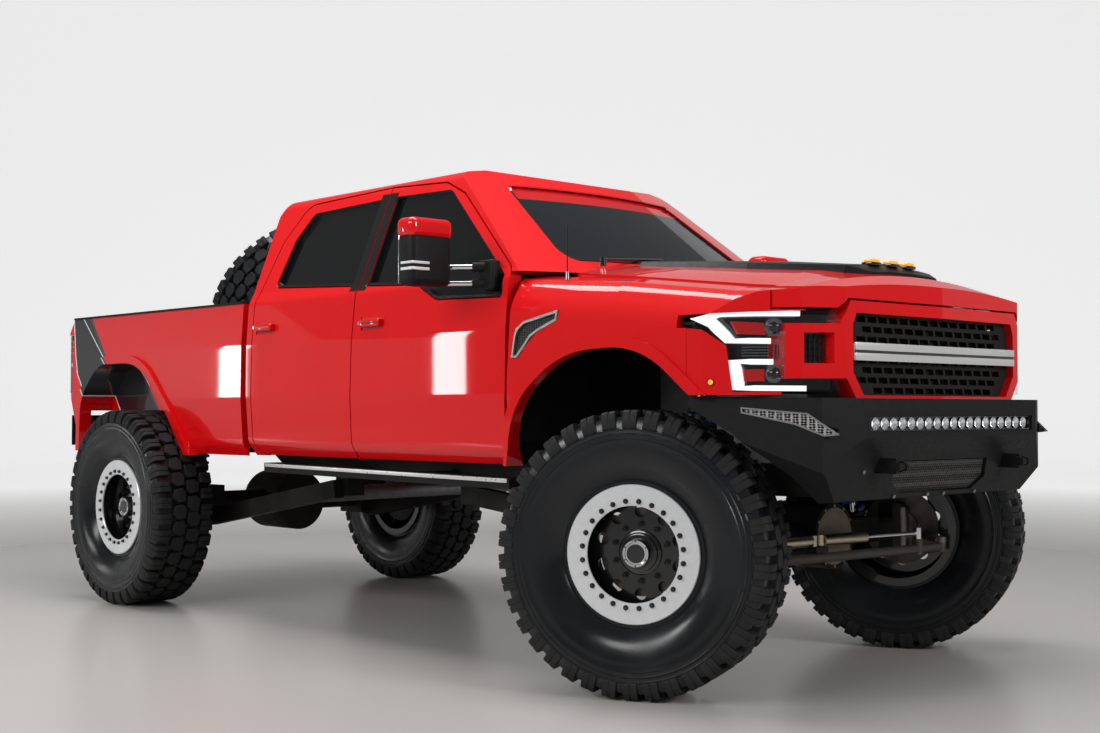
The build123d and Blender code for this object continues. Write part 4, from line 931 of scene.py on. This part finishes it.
def buildBumperMeshes():
    form = bumperForm
    bm = bmesh.new()
    for flank in (1, -1):
        ahead, side = form["wingInward"]
        inward = Vector((ahead, side * flank, 0)) * form["wingSink"]
        points = [spot(x, -flank * y, z) + inward for x, y, z in form["wing"][::flank]]
        outward = inward.normalized() * -1
        addPlate(bm, points, outward, 3, 0)
        addPlate(bm, [p - inward * 0.72 for p in points], outward, 5, 1, 6)

    def plateSpot(y, z, sink=0, rise=0):
        # on the slanted plate at a height, then sunk and raised
        x, foot = form["plateFoot"]
        return spot(x + (z - foot) * form["plateLean"] - sink, y, z + rise)

    skid = [plateSpot(y, z, form["skidSink"]) for y, z in form["skid"]]
    addPlate(bm, skid, Vector((1, 0, 0)), 3, 2)
    for y, z in form["bolts"]:
        place = plateSpot(y, z, 0, 10)
        addRod(bm, place - Vector((0.004, 0, 0)), place + Vector((0.010, 0, -0.004)), 9, 6, 1)
    finishPiece(bm, "bumper_meshes", "chassis", ["wingMesh", "steel", "darkMesh"])


# light bar: a row of bright cups behind a clear cover
barForm = dict(count=19, pitch=61.5, z=1098, cup=25, cupHole=6, back=843, front=866, half=603, foot=1069,
               head=1127)


def buildLightBar():
    bm = bmesh.new()
    half, foot, head = barForm["half"], barForm["foot"], barForm["head"]
    addBlock(bm, (800.5, 842), (-half, half), (foot, head), 0, 2)
    for z in ((foot, foot + 4), (head - 4, head)):
        addBlock(bm, (842, 871), (-half, half), z, 0, 1)
    for y in (-half, half - 5):
        addBlock(bm, (842, 871), (y, y + 5), (foot + 4, head - 4), 0, 1)
    for index in range(barForm["count"]):
        y = (index - (barForm["count"] - 1) / 2) * barForm["pitch"]
        front, back = spot(barForm["front"], y, barForm["z"]), spot(barForm["back"], y, barForm["z"])
        cup = bmesh.ops.create_cone(bm, cap_ends=False, segments=20, radius1=barForm["cupHole"] * mm,
                                    radius2=barForm["cup"] * mm, depth=(front - back).length,
                                    matrix=Matrix.Translation((front + back) / 2)
                                    @ Matrix.Rotation(math.pi / 2, 4, "Y"))
        setSlot(facesOf(cup["verts"]), 1)
        addRod(bm, back, back + Vector((0.008, 0, 0)), 9, 12, 2)
        addRod(bm, front - Vector((0.002, 0, 0)), front, barForm["cup"] - 0.6, 20, 3)
    finishPiece(bm, "light_bar_lenses", "chassis", ["blackGloss", "chrome", "whiteGlow", "clearGlass"],
                ["light_bar"], 30, False)


# lamps on the hood's cowl, markers on the fenders, a mast and the wipers
smallForm = dict(hoodLamps=[(560, -128), (566, 0), (560, 128)], marker=(413, 986, 1259),
                 mast=(-501, -880, 1745, 1965), wipers=[((-598, -560), (-640, 30)), ((-598, 40), (-640, 600))])


def buildSmallParts():
    bm = bmesh.new()
    for x, y in smallForm["hoodLamps"]:
        addBlock(bm, (x - 26, x + 26), (y - 38, y + 38), (1758, 1772), 0, 4, 2)
        addBlock(bm, (x - 20, x + 22), (y - 32, y + 32), (1770, 1785), 1, 6, 3)
    finishPiece(bm, "hood_lamps", "hood", ["blackGloss", "amberGlow"])
    bm = bmesh.new()
    x, y, z = smallForm["marker"]
    for flank in (1, -1):
        away = Vector((0.3, flank * 0.95, 0)).normalized()
        middle = spot(x - 5, flank * (y - 5), z)
        addRod(bm, middle - away * 0.006, middle + away * 0.010, 14, 20, 0)
        addRod(bm, middle + away * 0.010, middle + away * 0.016, 11, 20, 1, 7)
    x, y, low, high = smallForm["mast"]
    addRod(bm, spot(x, y, low - 30), spot(x, y, low + 12), 13, 16, 0, 8)
    addRod(bm, spot(x, y, low), spot(x, y, high), 2.6, 10, 0)
    for (x0, y0), (x1, y1) in smallForm["wipers"]:
        heel, tip = spot(x0, y0, 1838), spot(x1 - 60, y1, 1884)
        addRod(bm, heel, tip, 6, 8, 0)
        addRod(bm, tip + Vector((-0.03, -0.28, 0.012)), tip + Vector((-0.02, 0.27, 0.008)), 5, 8, 0)
        addRod(bm, heel - Vector((0, 0, 0.03)), heel + Vector((0, 0, 0.012)), 15, 14, 0)
    finishPiece(bm, "body_fittings", "chassis", ["blackGloss", "amberGlow"])


# side steps: a brushed strip along each tread; grille bar: two bright blades; inlets: dark slats
stripForm = dict(
    tread=[(-2760, 3), (-790, 3), (-790, 21), (-2760, 21)],        # (ahead of the axle, below the step's edge)
    stepRear=(-2773, 868), stepFront=(-776, 849), side=975.3, blades=((1344, 1374), (1385, 1415)), half=592,
    inlet=((684, 1334), (785, 1334), (785, 1446), (684, 1446)), slats=6, slatFirst=692, slatPitch=17,
    bars=(1362, 1390, 1418),
)


def buildTrimStrips():
    form = stripForm
    bm = bmesh.new()
    (rearX, rearZ), (frontX, frontZ) = form["stepRear"], form["stepFront"]
    slope = (frontZ - rearZ) / (frontX - rearX)
    for flank in (1, -1):
        points = [spot(x, flank * form["side"], rearZ + (x - rearX) * slope - drop)
                  for x, drop in form["tread"]]
        addPlate(bm, points[::-flank], Vector((0, flank, 0)), 3, 0, 0, 0.6)
    across = (-form["half"], form["half"])
    for z in form["blades"]:
        addBlock(bm, (799, 806), across, z, 0, 1.5, 2)
    addBlock(bm, (799, 801), across, (form["blades"][0][1], form["blades"][1][0]), 1)
    finishPiece(bm, "bright_strips", "chassis", ["brushed", "blackGloss"])
    bm = bmesh.new()
    for flank in (1, -1):
        points = [noseSpot(flank * y, z, 62) for y, z in form["inlet"]]
        addPlate(bm, points[::flank], Vector((1, 0, 0)), 4, 0)
        for index in range(form["slats"]):
            y = form["slatFirst"] + index * form["slatPitch"]
            addRod(bm, noseSpot(flank * y, 1336, 34), noseSpot(flank * y, 1444, 34), 4.5, 6, 1)
        for z in form["bars"]:
            addRod(bm, noseSpot(flank * 686, z, 38), noseSpot(flank * 783, z, 38), 3, 6, 1)
    finishPiece(bm, "inlet_slats", "chassis", ["blackGloss", "moulded"])


# coil springs over dampers, in the places of the plain ones
coilForm = dict(
    front=dict(foot=(-31, 572, 648), head=(-59, 506, 1160), radius=56, wire=9.5, turns=9, body=34),
    rear=dict(foot=(-4111, 599, 692), head=(-4207, 513, 1040), radius=52, wire=9, turns=7, body=32),
)


def addHelix(bm, start, end, radius, wire, turns, slotIndex):
    length = (end - start).length
    verts, edges = wireCircle(bm, radius, wire, 8)
    steps = turns * 20
    known = set(bm.faces)
    made = bmesh.ops.spin(bm, geom=verts + edges, cent=(0, 0, 0), axis=(0, 0, 1), dvec=(0, 0, length / steps),
                          angle=2 * math.pi * turns, steps=steps, use_duplicate=False)
    ends = set(verts) | {v for v in made["geom_last"] if isinstance(v, bmesh.types.BMVert)}
    openEdges = [e for e in bm.edges if e.is_boundary and e.verts[0] in ends]
    bmesh.ops.holes_fill(bm, edges=openEdges, sides=8)
    fresh = [f for f in bm.faces if f not in known]
    bmesh.ops.transform(bm, verts=list({v for f in fresh for v in f.verts}),
                        matrix=Matrix.Translation(start) @ uprightAlong(end - start))
    setSlot(fresh, slotIndex)


def buildCoilovers():
    bm = bmesh.new()
    for place, form in coilForm.items():
        for flank in (1, -1):
            (xf, yf, zf), (xh, yh, zh) = form["foot"], form["head"]
            foot, head = spot(xf, flank * yf, zf), spot(xh, flank * yh, zh)
            along = (head - foot).normalized()
            addRod(bm, foot, head, form["body"] * 0.42, 20, 2)
            addRod(bm, foot + (head - foot) * 0.45, head, form["body"], 24, 1)
            addRod(bm, foot, foot + along * 0.022, form["radius"] + 2, 28, 1)
            addRod(bm, head - along * 0.022, head, form["radius"] + 2, 28, 1)
            addHelix(bm, foot + along * 0.03, head - along * 0.03, form["radius"] - form["wire"], form["wire"],
                     form["turns"], 0)
    for flank in (1, -1):
        foot, head = spot(-20, flank * 548, 652), spot(-60, flank * 500, 1272)
        addRod(bm, foot, foot + (head - foot) * 0.5, 11, 16, 2)
        addRod(bm, foot + (head - foot) * 0.42, head, 27, 24, 3)

        addBlock(bm, (-130, 10), flankLimits(flank, 455.4, 540), (1275, 1300), 1, 3, 2)
        addBlock(bm, (-110, -10), flankLimits(flank, 455.5, 474), (862, 1275), 1, 3, 2)
        addBlock(bm, (-wheelbase - 210, -wheelbase - 90), flankLimits(flank, 400, 560), (1040.5, 1074.7),
                 1, 3, 2)
    finishPiece(bm, "coil_springs", "chassis", ["springBlue", "chassisBlack", "chrome", "damperGold"],
                ["coilovers"], 35, False)


def addRing(bm, centre, axis, radius, wire, steps, slotIndex):
    # a round bar bent into a ring about an axis through its centre
    verts, edges = wireCircle(bm, radius, wire, 12)
    known = set(bm.faces)
    bmesh.ops.spin(bm, geom=verts + edges, cent=(0, 0, 0), axis=(0, 0, 1), angle=2 * math.pi, steps=steps,
                   use_merge=True, use_duplicate=False)
    fresh = [f for f in bm.faces if f not in known]
    bmesh.ops.transform(bm, verts=list({v for f in fresh for v in f.verts}),
                        matrix=Matrix.Translation(centre) @ uprightAlong(axis))
    bmesh.ops.recalc_face_normals(bm, faces=fresh)
    setSlot(fresh, slotIndex)


# dashboard: a moulded top over a hooded instrument panel, a screen, air vents and the steering wheel
dashForm = dict(side=[(-851, 1252), (-851, 1688), (-1000, 1718), (-1150, 1664), (-1176, 1600), (-1160, 1490),
                      (-1060, 1400), (-1000, 1254)],
                hood=[(-1060, 1695), (-1182, 1652), (-1176, 1560), (-1100, 1560)],
                wheel=(-1343, 400, 1646), ringRadius=175, ringWire=15)


def buildDashboard():
    bm = bmesh.new()
    across = Vector((0, 1, 0))
    addPlate(bm, [spot(x, -838, z) for x, z in dashForm["side"]], across, 1676, 0, 0, 14)
    addPlate(bm, [spot(x, 235, z) for x, z in dashForm["hood"]], across, 330, 0, 0, 10)
    addBlock(bm, (-1182, -1150), (-150, 150), (1500, 1632), 1, 5, 2)
    addBlock(bm, (-1176, -1140), (240, 560), (1566, 1640), 1, 4, 2)
    for y in (330, 470):
        addRod(bm, spot(-1170, y, 1604), spot(-1180, y, 1604), 32, 32, 2, 30)
    for y in (-760, -240, 205, 620, 760):
        addBlock(bm, (-1178, -1150), (y - 45, y + 45), (1588, 1634), 1, 4, 2)
        for step in range(4):
            z = 1594 + step * 10
            addBlock(bm, (-1181, -1172), (y - 40, y + 40), (z, z + 4), 0, 1)
    addBlock(bm, (-1172, -1150), (-720, -300), (1500, 1575), 3, 6, 2)
    x, y, z = dashForm["wheel"]
    centre, axis = spot(x, y, z), Vector((-0.878, 0, 0.479)).normalized()
    addRod(bm, spot(-1172, 400, 1557), centre - axis * 0.012, 24, 20, 0)
    addRing(bm, centre, axis, dashForm["ringRadius"], dashForm["ringWire"], 56, 3)
    addRod(bm, centre - axis * 0.02, centre + axis * 0.008, 54, 32, 0, 50)
    side = Vector((0, 1, 0))
    drop = axis.cross(side)
    for reach in (side, -side, drop if drop.z < 0 else -drop):
        addRod(bm, centre - axis * 0.008, centre - axis * 0.004 + reach * 0.17, 15, 10, 0, 11)
    finishPiece(bm, "dash_and_wheel", "chassis", ["moulded", "blackGloss", "ledLens", "seatLeather"],
                ["dashboard"], 35, False)


# seats: shells on plinths, and pads simulated as stuffed cloth, each made once and set down where it repeats
# rows: a pad's outline from the side; channels: its sewn lines, by height on a back, by station on a cushion
seatForm = dict(
    voxel=0.008, frames=20, pressure=4.0, cap=0.024, bolsterShare=0.27, facing=0.35,
    seams=dict(depth=0.009, width=0.006), channelDepth=0.006,
    pads={
        "front_cushion": dict(rows=[(-1885, 1252), (-1885, 1376), (-1760, 1384), (-1452, 1384), (-1446, 1262)],
                              y=(142, 658), middle=400, sites=(0, -800),
                              channels=(-1800, -1700, -1600, -1510)),
        "front_back": dict(rows=[(-1905, 1385), (-1795, 1385), (-1890, 1838), (-1968, 1838)],
                           y=(142, 658), middle=400, sites=(0, -800), channels=(1470, 1560, 1650, 1740)),
        "front_headrest": dict(rows=[(-1965, 1870), (-1905, 1870), (-1908, 2022), (-1975, 2022)],
                               y=(277, 523), middle=400, sites=(0, -800), channels=()),
        "bench_cushion": dict(rows=[(-2625, 1240), (-2625, 1366), (-2500, 1374), (-2272, 1374), (-2266, 1240)],
                              y=(-212, 212), middle=0, sites=(-438, 0, 438), channels=(-2540, -2450, -2360)),
        "bench_back": dict(rows=[(-2650, 1385), (-2535, 1385), (-2618, 1838), (-2688, 1838)],
                           y=(-212, 212), middle=0, sites=(-438, 0, 438), channels=(1470, 1560, 1650, 1740)),
        "bench_headrest": dict(rows=[(-2680, 1868), (-2632, 1868), (-2634, 2004), (-2692, 2004)],
                               y=(-108, 108), middle=0, sites=(-400, 0, 400), channels=()),
    },
)


def stuffPad(name, form):
    # swells a closed shape like a filled cover, and gives its mesh back
    bm = bmesh.new()
    low, high = form["y"]
    addPlate(bm, [spot(x, low, z) for x, z in form["rows"]], Vector((0, 1, 0)), high - low, 0, 0, 30)
    mesh = bpy.data.meshes.new(name)
    bm.to_mesh(mesh)
    bm.free()
    pad = bpy.data.objects.new(name, mesh)
    scene = bpy.context.scene
    scene.collection.objects.link(pad)
    remesh = pad.modifiers.new("even", "REMESH")
    remesh.mode = "VOXEL"
    remesh.voxel_size = seatForm["voxel"]
    graph = bpy.context.evaluated_depsgraph_get()
    even = bpy.data.meshes.new_from_object(pad.evaluated_get(graph))
    pad.modifiers.clear()
    pad.data = even
    start = [v.co.copy() for v in even.vertices]
    cloth = pad.modifiers.new("cover", "CLOTH")
    cloth.settings.use_pressure = True
    cloth.settings.uniform_pressure_force = seatForm["pressure"]
    cloth.settings.effector_weights.gravity = 0
    cloth.settings.quality = 4
    for frame in range(1, seatForm["frames"] + 1):
        scene.frame_set(frame)
    graph = bpy.context.evaluated_depsgraph_get()
    full = bpy.data.meshes.new_from_object(pad.evaluated_get(graph))
    pad.modifiers.clear()
    pad.data = full
    for vertex, place in zip(full.vertices, start):
        move = vertex.co - place
        if move.length > seatForm["cap"]:
            vertex.co = place + move.normalized() * seatForm["cap"]
    scene.frame_set(1)
    result = pad.data.copy()
    bpy.data.objects.remove(pad)
    return result


def sewPad(mesh, form):
    # sewn channels: grooves between the bolsters and the middle, and across the middle
    middle = form["middle"] * mm
    bm = bmesh.new()
    bm.from_mesh(mesh)
    bm.normal_update()
    upright = form["channels"] and form["channels"][0] > 0
    low, high = form["y"]
    bolster = (high - low) * mm * seatForm["bolsterShare"]
    seamDepth, seamWidth = seatForm["seams"]["depth"], seatForm["seams"]["width"]
    lines = [row * mm if upright else axleX + row * mm for row in form["channels"]]

    def groove(distance, depth):
        return depth * math.exp(-(distance / seamWidth) ** 2)

    def facesOut(normal):
        return (normal.x if upright else normal.z) >= seatForm["facing"]

    moves = []
    for vertex in bm.verts:
        if not lines or not facesOut(vertex.normal):
            continue
        side = abs(vertex.co.y - middle)
        depth = groove(side - bolster, seamDepth)
        if side < bolster:
            along = vertex.co.z if upright else vertex.co.x
            depth = max([depth] + [groove(along - line, seatForm["channelDepth"]) for line in lines])
        moves.append((vertex, vertex.normal * -depth))
    for vertex, move in moves:
        vertex.co += move
    for face in bm.faces:
        inMiddle = abs(face.calc_center_median().y - middle) < bolster
        face.material_index = int(inMiddle and facesOut(face.normal))
    return bm


def buildSeats():
    bm = bmesh.new()
    for middle in (400, -400):
        addBlock(bm, (-1880, -1478), (middle - 230, middle + 230), (1011, 1258), 0, 16, 3)
        addBlock(bm, (-1890, -1446), (middle - 262, middle + 262), (1225, 1275), 0, 12, 3)
        shell = [(-1930, 1300), (-1900, 1300), (-1960, 1855), (-1984, 1855)]
        addPlate(bm, [spot(x, middle - 255, z) for x, z in shell], Vector((0, 1, 0)), 510, 0, 0, 10)
        for y in (middle - 60, middle + 60):
            addRod(bm, spot(-1938, y, 1830), spot(-1942, y, 1900), 7, 12, 1)
    addBlock(bm, (-2632, -2300), (-650, 650), (1011, 1245), 0, 14, 3)
    rear = [(-2660, 1300), (-2640, 1300), (-2688, 1855), (-2704, 1855)]
    addPlate(bm, [spot(x, -655, z) for x, z in rear], Vector((0, 1, 0)), 1310, 0, 0, 8)
    for middle in (-400, 0, 400):
        for y in (middle - 50, middle + 50):
            addRod(bm, spot(-2660, y, 1830), spot(-2660, y, 1890), 7, 12, 1)
    finishPiece(bm, "seat_shells", "chassis", ["moulded", "chrome"], ["seats"], 35, False)
    for name, form in seatForm["pads"].items():
        mesh = stuffPad(name, form)
        for index, shift in enumerate(form["sites"]):
            bm = sewPad(mesh, form)
            bmesh.ops.translate(bm, verts=bm.verts, vec=(0, shift * mm, 0))
            piece = finishPiece(bm, f"{name}_{index + 1}", "chassis", ["seatLeather", "seatCloth"],
                                ["seats"], 80, False)
        print(f"{name} stuffed")


# tail lamps: a smoked housing with red bars and a clear reversing lamp
tailForm = dict(x=(-5097, -5031), y=(816, 989), z=(1261, 1639), bars=9)


def buildTailLamps():
    bm = bmesh.new()
    (x0, x1), (y0, y1), (z0, z1) = tailForm["x"], tailForm["y"], tailForm["z"]
    for flank in (1, -1):
        addBlock(bm, (x0 + 9, x1), flankLimits(flank, y0, y1), (z0, z1), 0, 6, 3)
        for index in range(tailForm["bars"]):
            z = z0 + 20 + index * 38
            slotIndex = 2 if index == 4 else 1
            addBlock(bm, (x0, x0 + 14), flankLimits(flank, y0 + 14, y1 - 14), (z, z + 30), slotIndex, 5, 3)
            addBlock(bm, (x0 + 20, x1 - 10), flankLimits(flank, y1 - 8, y1), (z, z + 30), slotIndex, 3, 2)
    finishPiece(bm, "tail_lamp_lenses", "chassis", ["blackGloss", "lampRed", "ledLens"], ["tail_lamps"])


# tailgate: a gloss panel with its release and a camera; blank where the plate goes on the bumper
def buildTailgateParts():
    bm = bmesh.new()
    addBlock(bm, (-5085, -5070), (-552, 552), (1296, 1604), 0, 6, 2)
    addBlock(bm, (-5089, -5084), (-150, 150), (1634, 1694), 1, 6, 3)
    addBlock(bm, (-5091, -5087), (-120, 120), (1668, 1688), 0, 3, 2)
    addRod(bm, spot(-5088, 0, 1648), spot(-5092, 0, 1648), 9, 20, 0)
    for y in (-540, -270, 0, 270, 540):
        addBlock(bm, (-5087, -5084), (y - 7, y + 7), (1302, 1598), 1, 1.2, 1)
    finishPiece(bm, "tailgate_fittings", "tailgate", ["redPaint", "blackGloss"])


# door handles: a rounded grip over each plain one, with a lock button
handleForm = dict(front=(-1760, 1582), rear=(-2725, 1598), reach=(-98, 73), half=19, skin=(1003, 1025))


def buildHandles():
    for flank, hand in hands:
        for place in ("front", "rear"):
            bm = bmesh.new()
            x, z = handleForm[place]
            (back, ahead), half = handleForm["reach"], handleForm["half"]
            inner, outer = handleForm["skin"]
            button = x + back + 14
            addBlock(bm, (x + back, x + ahead), flankLimits(flank, inner, outer), (z - half, z + half), 0, 9, 4)
            addBlock(bm, (x + back + 30, x + ahead - 12), flankLimits(flank, outer - 1, outer + 1),
                     (z - 4, z + 4), 1, 0.8, 1)
            addRod(bm, spot(button, flank * (outer - 2), z), spot(button, flank * (outer + 1), z), 7, 16, 2)
            finishPiece(bm, f"{place}_handle_{hand}", f"{place}_door_{hand}",
                        ["redPaint", "blackGloss", "chrome"], (), 35, False)


# ribbed covers on the differentials, flat in front, where the tie rod passes close by:
# (distance to the left, face ahead of the front axle, radius, direction, flange, rise)
coverForm = [(235, 98, 150, 1, 2.4, 5), (0, -wheelbase - 190, 185, -1, 12, 34)]
coverBolts, coverRibs, ribPitch = 12, 5, 26


def buildUnderParts():
    bm = bmesh.new()
    for y, face, radius, sign, flange, rise in coverForm:
        flat, middle = spot(face, y, tyreRadius), spot(face + sign * rise, y, tyreRadius)
        flangeEnd = flat + Vector((sign * flange * mm, 0, 0))
        addRod(bm, flat, flangeEnd, radius - 4, 40, 0)
        addRod(bm, flangeEnd, middle, radius - 20, 40, 1, radius - 20 - rise * 0.9)
        for index in range(coverBolts):
            turn = index / coverBolts * 2 * math.pi
            away = Vector((0, math.cos(turn), math.sin(turn)))
            bolt = flangeEnd + away * (radius - 12) * mm
            addRod(bm, bolt, bolt + Vector((sign * flange * mm * 0.6, 0, 0)), 7, 6, 2)
        for index in range(coverRibs):
            side = (index - coverRibs // 2) * ribPitch
            reach = math.sqrt((radius - 60) ** 2 - side ** 2)
            start = middle + Vector((-sign * 0.003, side * mm, -reach * mm))
            addRod(bm, start, start + Vector((0, 0, 2 * reach * mm)), 4, 8, 1)
    finishPiece(bm, "axle_covers", "chassis", ["chassisBlack", "castTan", "steel"])


for buildPart in (buildDashboard, buildSeats, buildTailLamps, buildTailgateParts, buildUnderParts,
                  buildHandles):
    buildPart()
print("cabin, tail and axles done")
for buildPart in (buildVents, buildBumperMeshes, buildLightBar, buildSmallParts, buildTrimStrips,
                  buildCoilovers):
    buildPart()
print("fittings done")

# the camera, at the photograph's viewing angle
view = dict(place=(4188, -5387, 1149), azimuth=46.8, rise=1.7, lens=48.8, sensor=36, reach=200)


def buildCamera():
    camera = bpy.data.objects.new("camera", bpy.data.cameras.new("camera"))
    bpy.context.scene.collection.objects.link(camera)
    camera.location = spot(*view["place"])
    a, e = math.radians(view["azimuth"]), math.radians(view["rise"])
    look = Vector((-math.sin(a) * math.cos(e), math.cos(a) * math.cos(e), math.sin(e)))
    camera.rotation_euler = look.to_track_quat("-Z", "Y").to_euler()
    camera.data.lens = view["lens"]
    camera.data.sensor_width = view["sensor"]
    camera.data.clip_end = view["reach"]
    bpy.context.scene.camera = camera


def addPanel(name, place, target, size, power):
    lamp = bpy.data.lights.new(name, "AREA")
    lamp.shape, lamp.size, lamp.size_y, lamp.energy = "RECTANGLE", size[0], size[1], power
    thing = bpy.data.objects.new(name, lamp)
    bpy.context.scene.collection.objects.link(thing)
    thing.location = place
    thing.rotation_euler = (Vector(target) - Vector(place)).to_track_quat("-Z", "Y").to_euler()


# lamps: place, target, size and power; the floor pales with its distance and with its height
studioForm = dict(
    lamps={
        "overhead": ((0.2, -0.6, 6.8), (0, 0, 0), (7.5, 2.2), 420),
        "sideSoft": ((0.5, -8.0, 4.6), (0, 0, 1.0), (7.0, 1.6), 380),
        "noseSoft": ((9.0, 0.5, 3.8), (2, 0, 1.2), (3.0, 1.6), 260),
        "tallSoft": ((-5.4, -6.2, 1.9), (-1.0, 0, 1.2), (0.34, 1.5), 26),
        "tailSoft": ((-10.2, -6.6, 1.9), (-3.0, 0, 1.2), (0.34, 1.5), 26),
    },
    ambient=0.42, seen=0.93, shine=0.12, wallGlow=0.42, far=20.0, turn=4.0, wallHead=16.0, reach=200.0,
    paleFrom=(6.0, 16.0), paleRise=(0.02, 1.1), wallColor=(0.93, 0.93, 0.93),
    groundColors=((0.36, 0.348, 0.335), (0.43, 0.415, 0.40)), groundRough=0.27, wallRougher=0.4,
)


def addFloor():
    # a floor that turns up into a plain wall behind the truck, square to the view
    a = math.radians(view["azimuth"])
    back = Vector((-math.sin(a), math.cos(a), 0))
    across = Vector((math.cos(a), math.sin(a), 0))
    far, turn, reach = (studioForm[key] for key in ("far", "turn", "reach"))
    bm = bmesh.new()
    points = [back * -reach, back * far]
    for step in range(1, 13):
        t = math.pi / 2 * step / 12
        points.append(back * (far + turn * math.sin(t)) + Vector((0, 0, turn * (1 - math.cos(t)))))
    points.append(back * (far + turn) + Vector((0, 0, studioForm["wallHead"])))
    verts = [bm.verts.new(p - across * reach) for p in points]
    edges = [bm.edges.new(pair) for pair in zip(verts, verts[1:])]
    made = bmesh.ops.extrude_edge_only(bm, edges=edges)
    tips = [v for v in made["geom"] if isinstance(v, bmesh.types.BMVert)]
    bmesh.ops.translate(bm, verts=tips, vec=across * 2 * reach)
    bmesh.ops.recalc_face_normals(bm, faces=bm.faces[:])
    mesh = bpy.data.meshes.new("floor")
    bm.to_mesh(mesh)
    bm.free()
    mesh.shade_smooth()
    floor = bpy.data.objects.new("floor", mesh)
    bpy.context.scene.collection.objects.link(floor)
    material, tree, shader, place = newMaterial("paleFloor")
    surface = placeGroup(tree, "grain", place, Scale=3.0)
    rise = addRange(tree, splitVector(tree, place)["Z"], studioForm["paleRise"])
    away = addNode(tree, "ShaderNodeVectorMath", operation="LENGTH")
    tree.links.new(place, away.inputs[0])
    pale = addMath(tree, "MAXIMUM", rise, addRange(tree, away.outputs["Value"], studioForm["paleFrom"]))
    ground = mixColors(tree, surface.outputs["Mask"], *studioForm["groundColors"])
    tree.links.new(mixColors(tree, pale, ground, studioForm["wallColor"]), shader.inputs["Base Color"])
    seen = allOf(tree, addNode(tree, "ShaderNodeLightPath").outputs["Is Camera Ray"], pale)
    shader.inputs["Specular IOR Level"].default_value = 0.35
    shader.inputs["Emission Color"].default_value = (1.0, 1.0, 1.0, 1.0)
    tree.links.new(addMath(tree, "MULTIPLY", seen, studioForm["wallGlow"]), shader.inputs["Emission Strength"])
    rougher = addMath(tree, "MULTIPLY", pale, studioForm["wallRougher"])
    tree.links.new(addMath(tree, "ADD", rougher, studioForm["groundRough"]), shader.inputs["Roughness"])
    mesh.materials.append(material)


def buildStudio():
    world = bpy.data.worlds.new("studio")
    bpy.context.scene.world = world
    world.use_nodes = True
    tree = world.node_tree
    background = tree.nodes["Background"]
    background.inputs["Color"].default_value = (1.0, 1.0, 1.0, 1.0)
    path = addNode(tree, "ShaderNodeLightPath")
    strength = studioForm["ambient"]
    for ray, wanted in (("Is Camera Ray", studioForm["seen"]), ("Is Glossy Ray", studioForm["shine"])):
        change = addMath(tree, "MULTIPLY", path.outputs[ray], wanted - studioForm["ambient"])
        strength = addMath(tree, "ADD", strength, change)
    tree.links.new(strength, background.inputs["Strength"])
    for name, (place, target, size, power) in studioForm["lamps"].items():
        addPanel(name, place, target, size, power)
    addFloor()


buildCamera()
buildStudio()
bpy.context.scene.view_settings.view_transform = "Standard"
print("studio done")
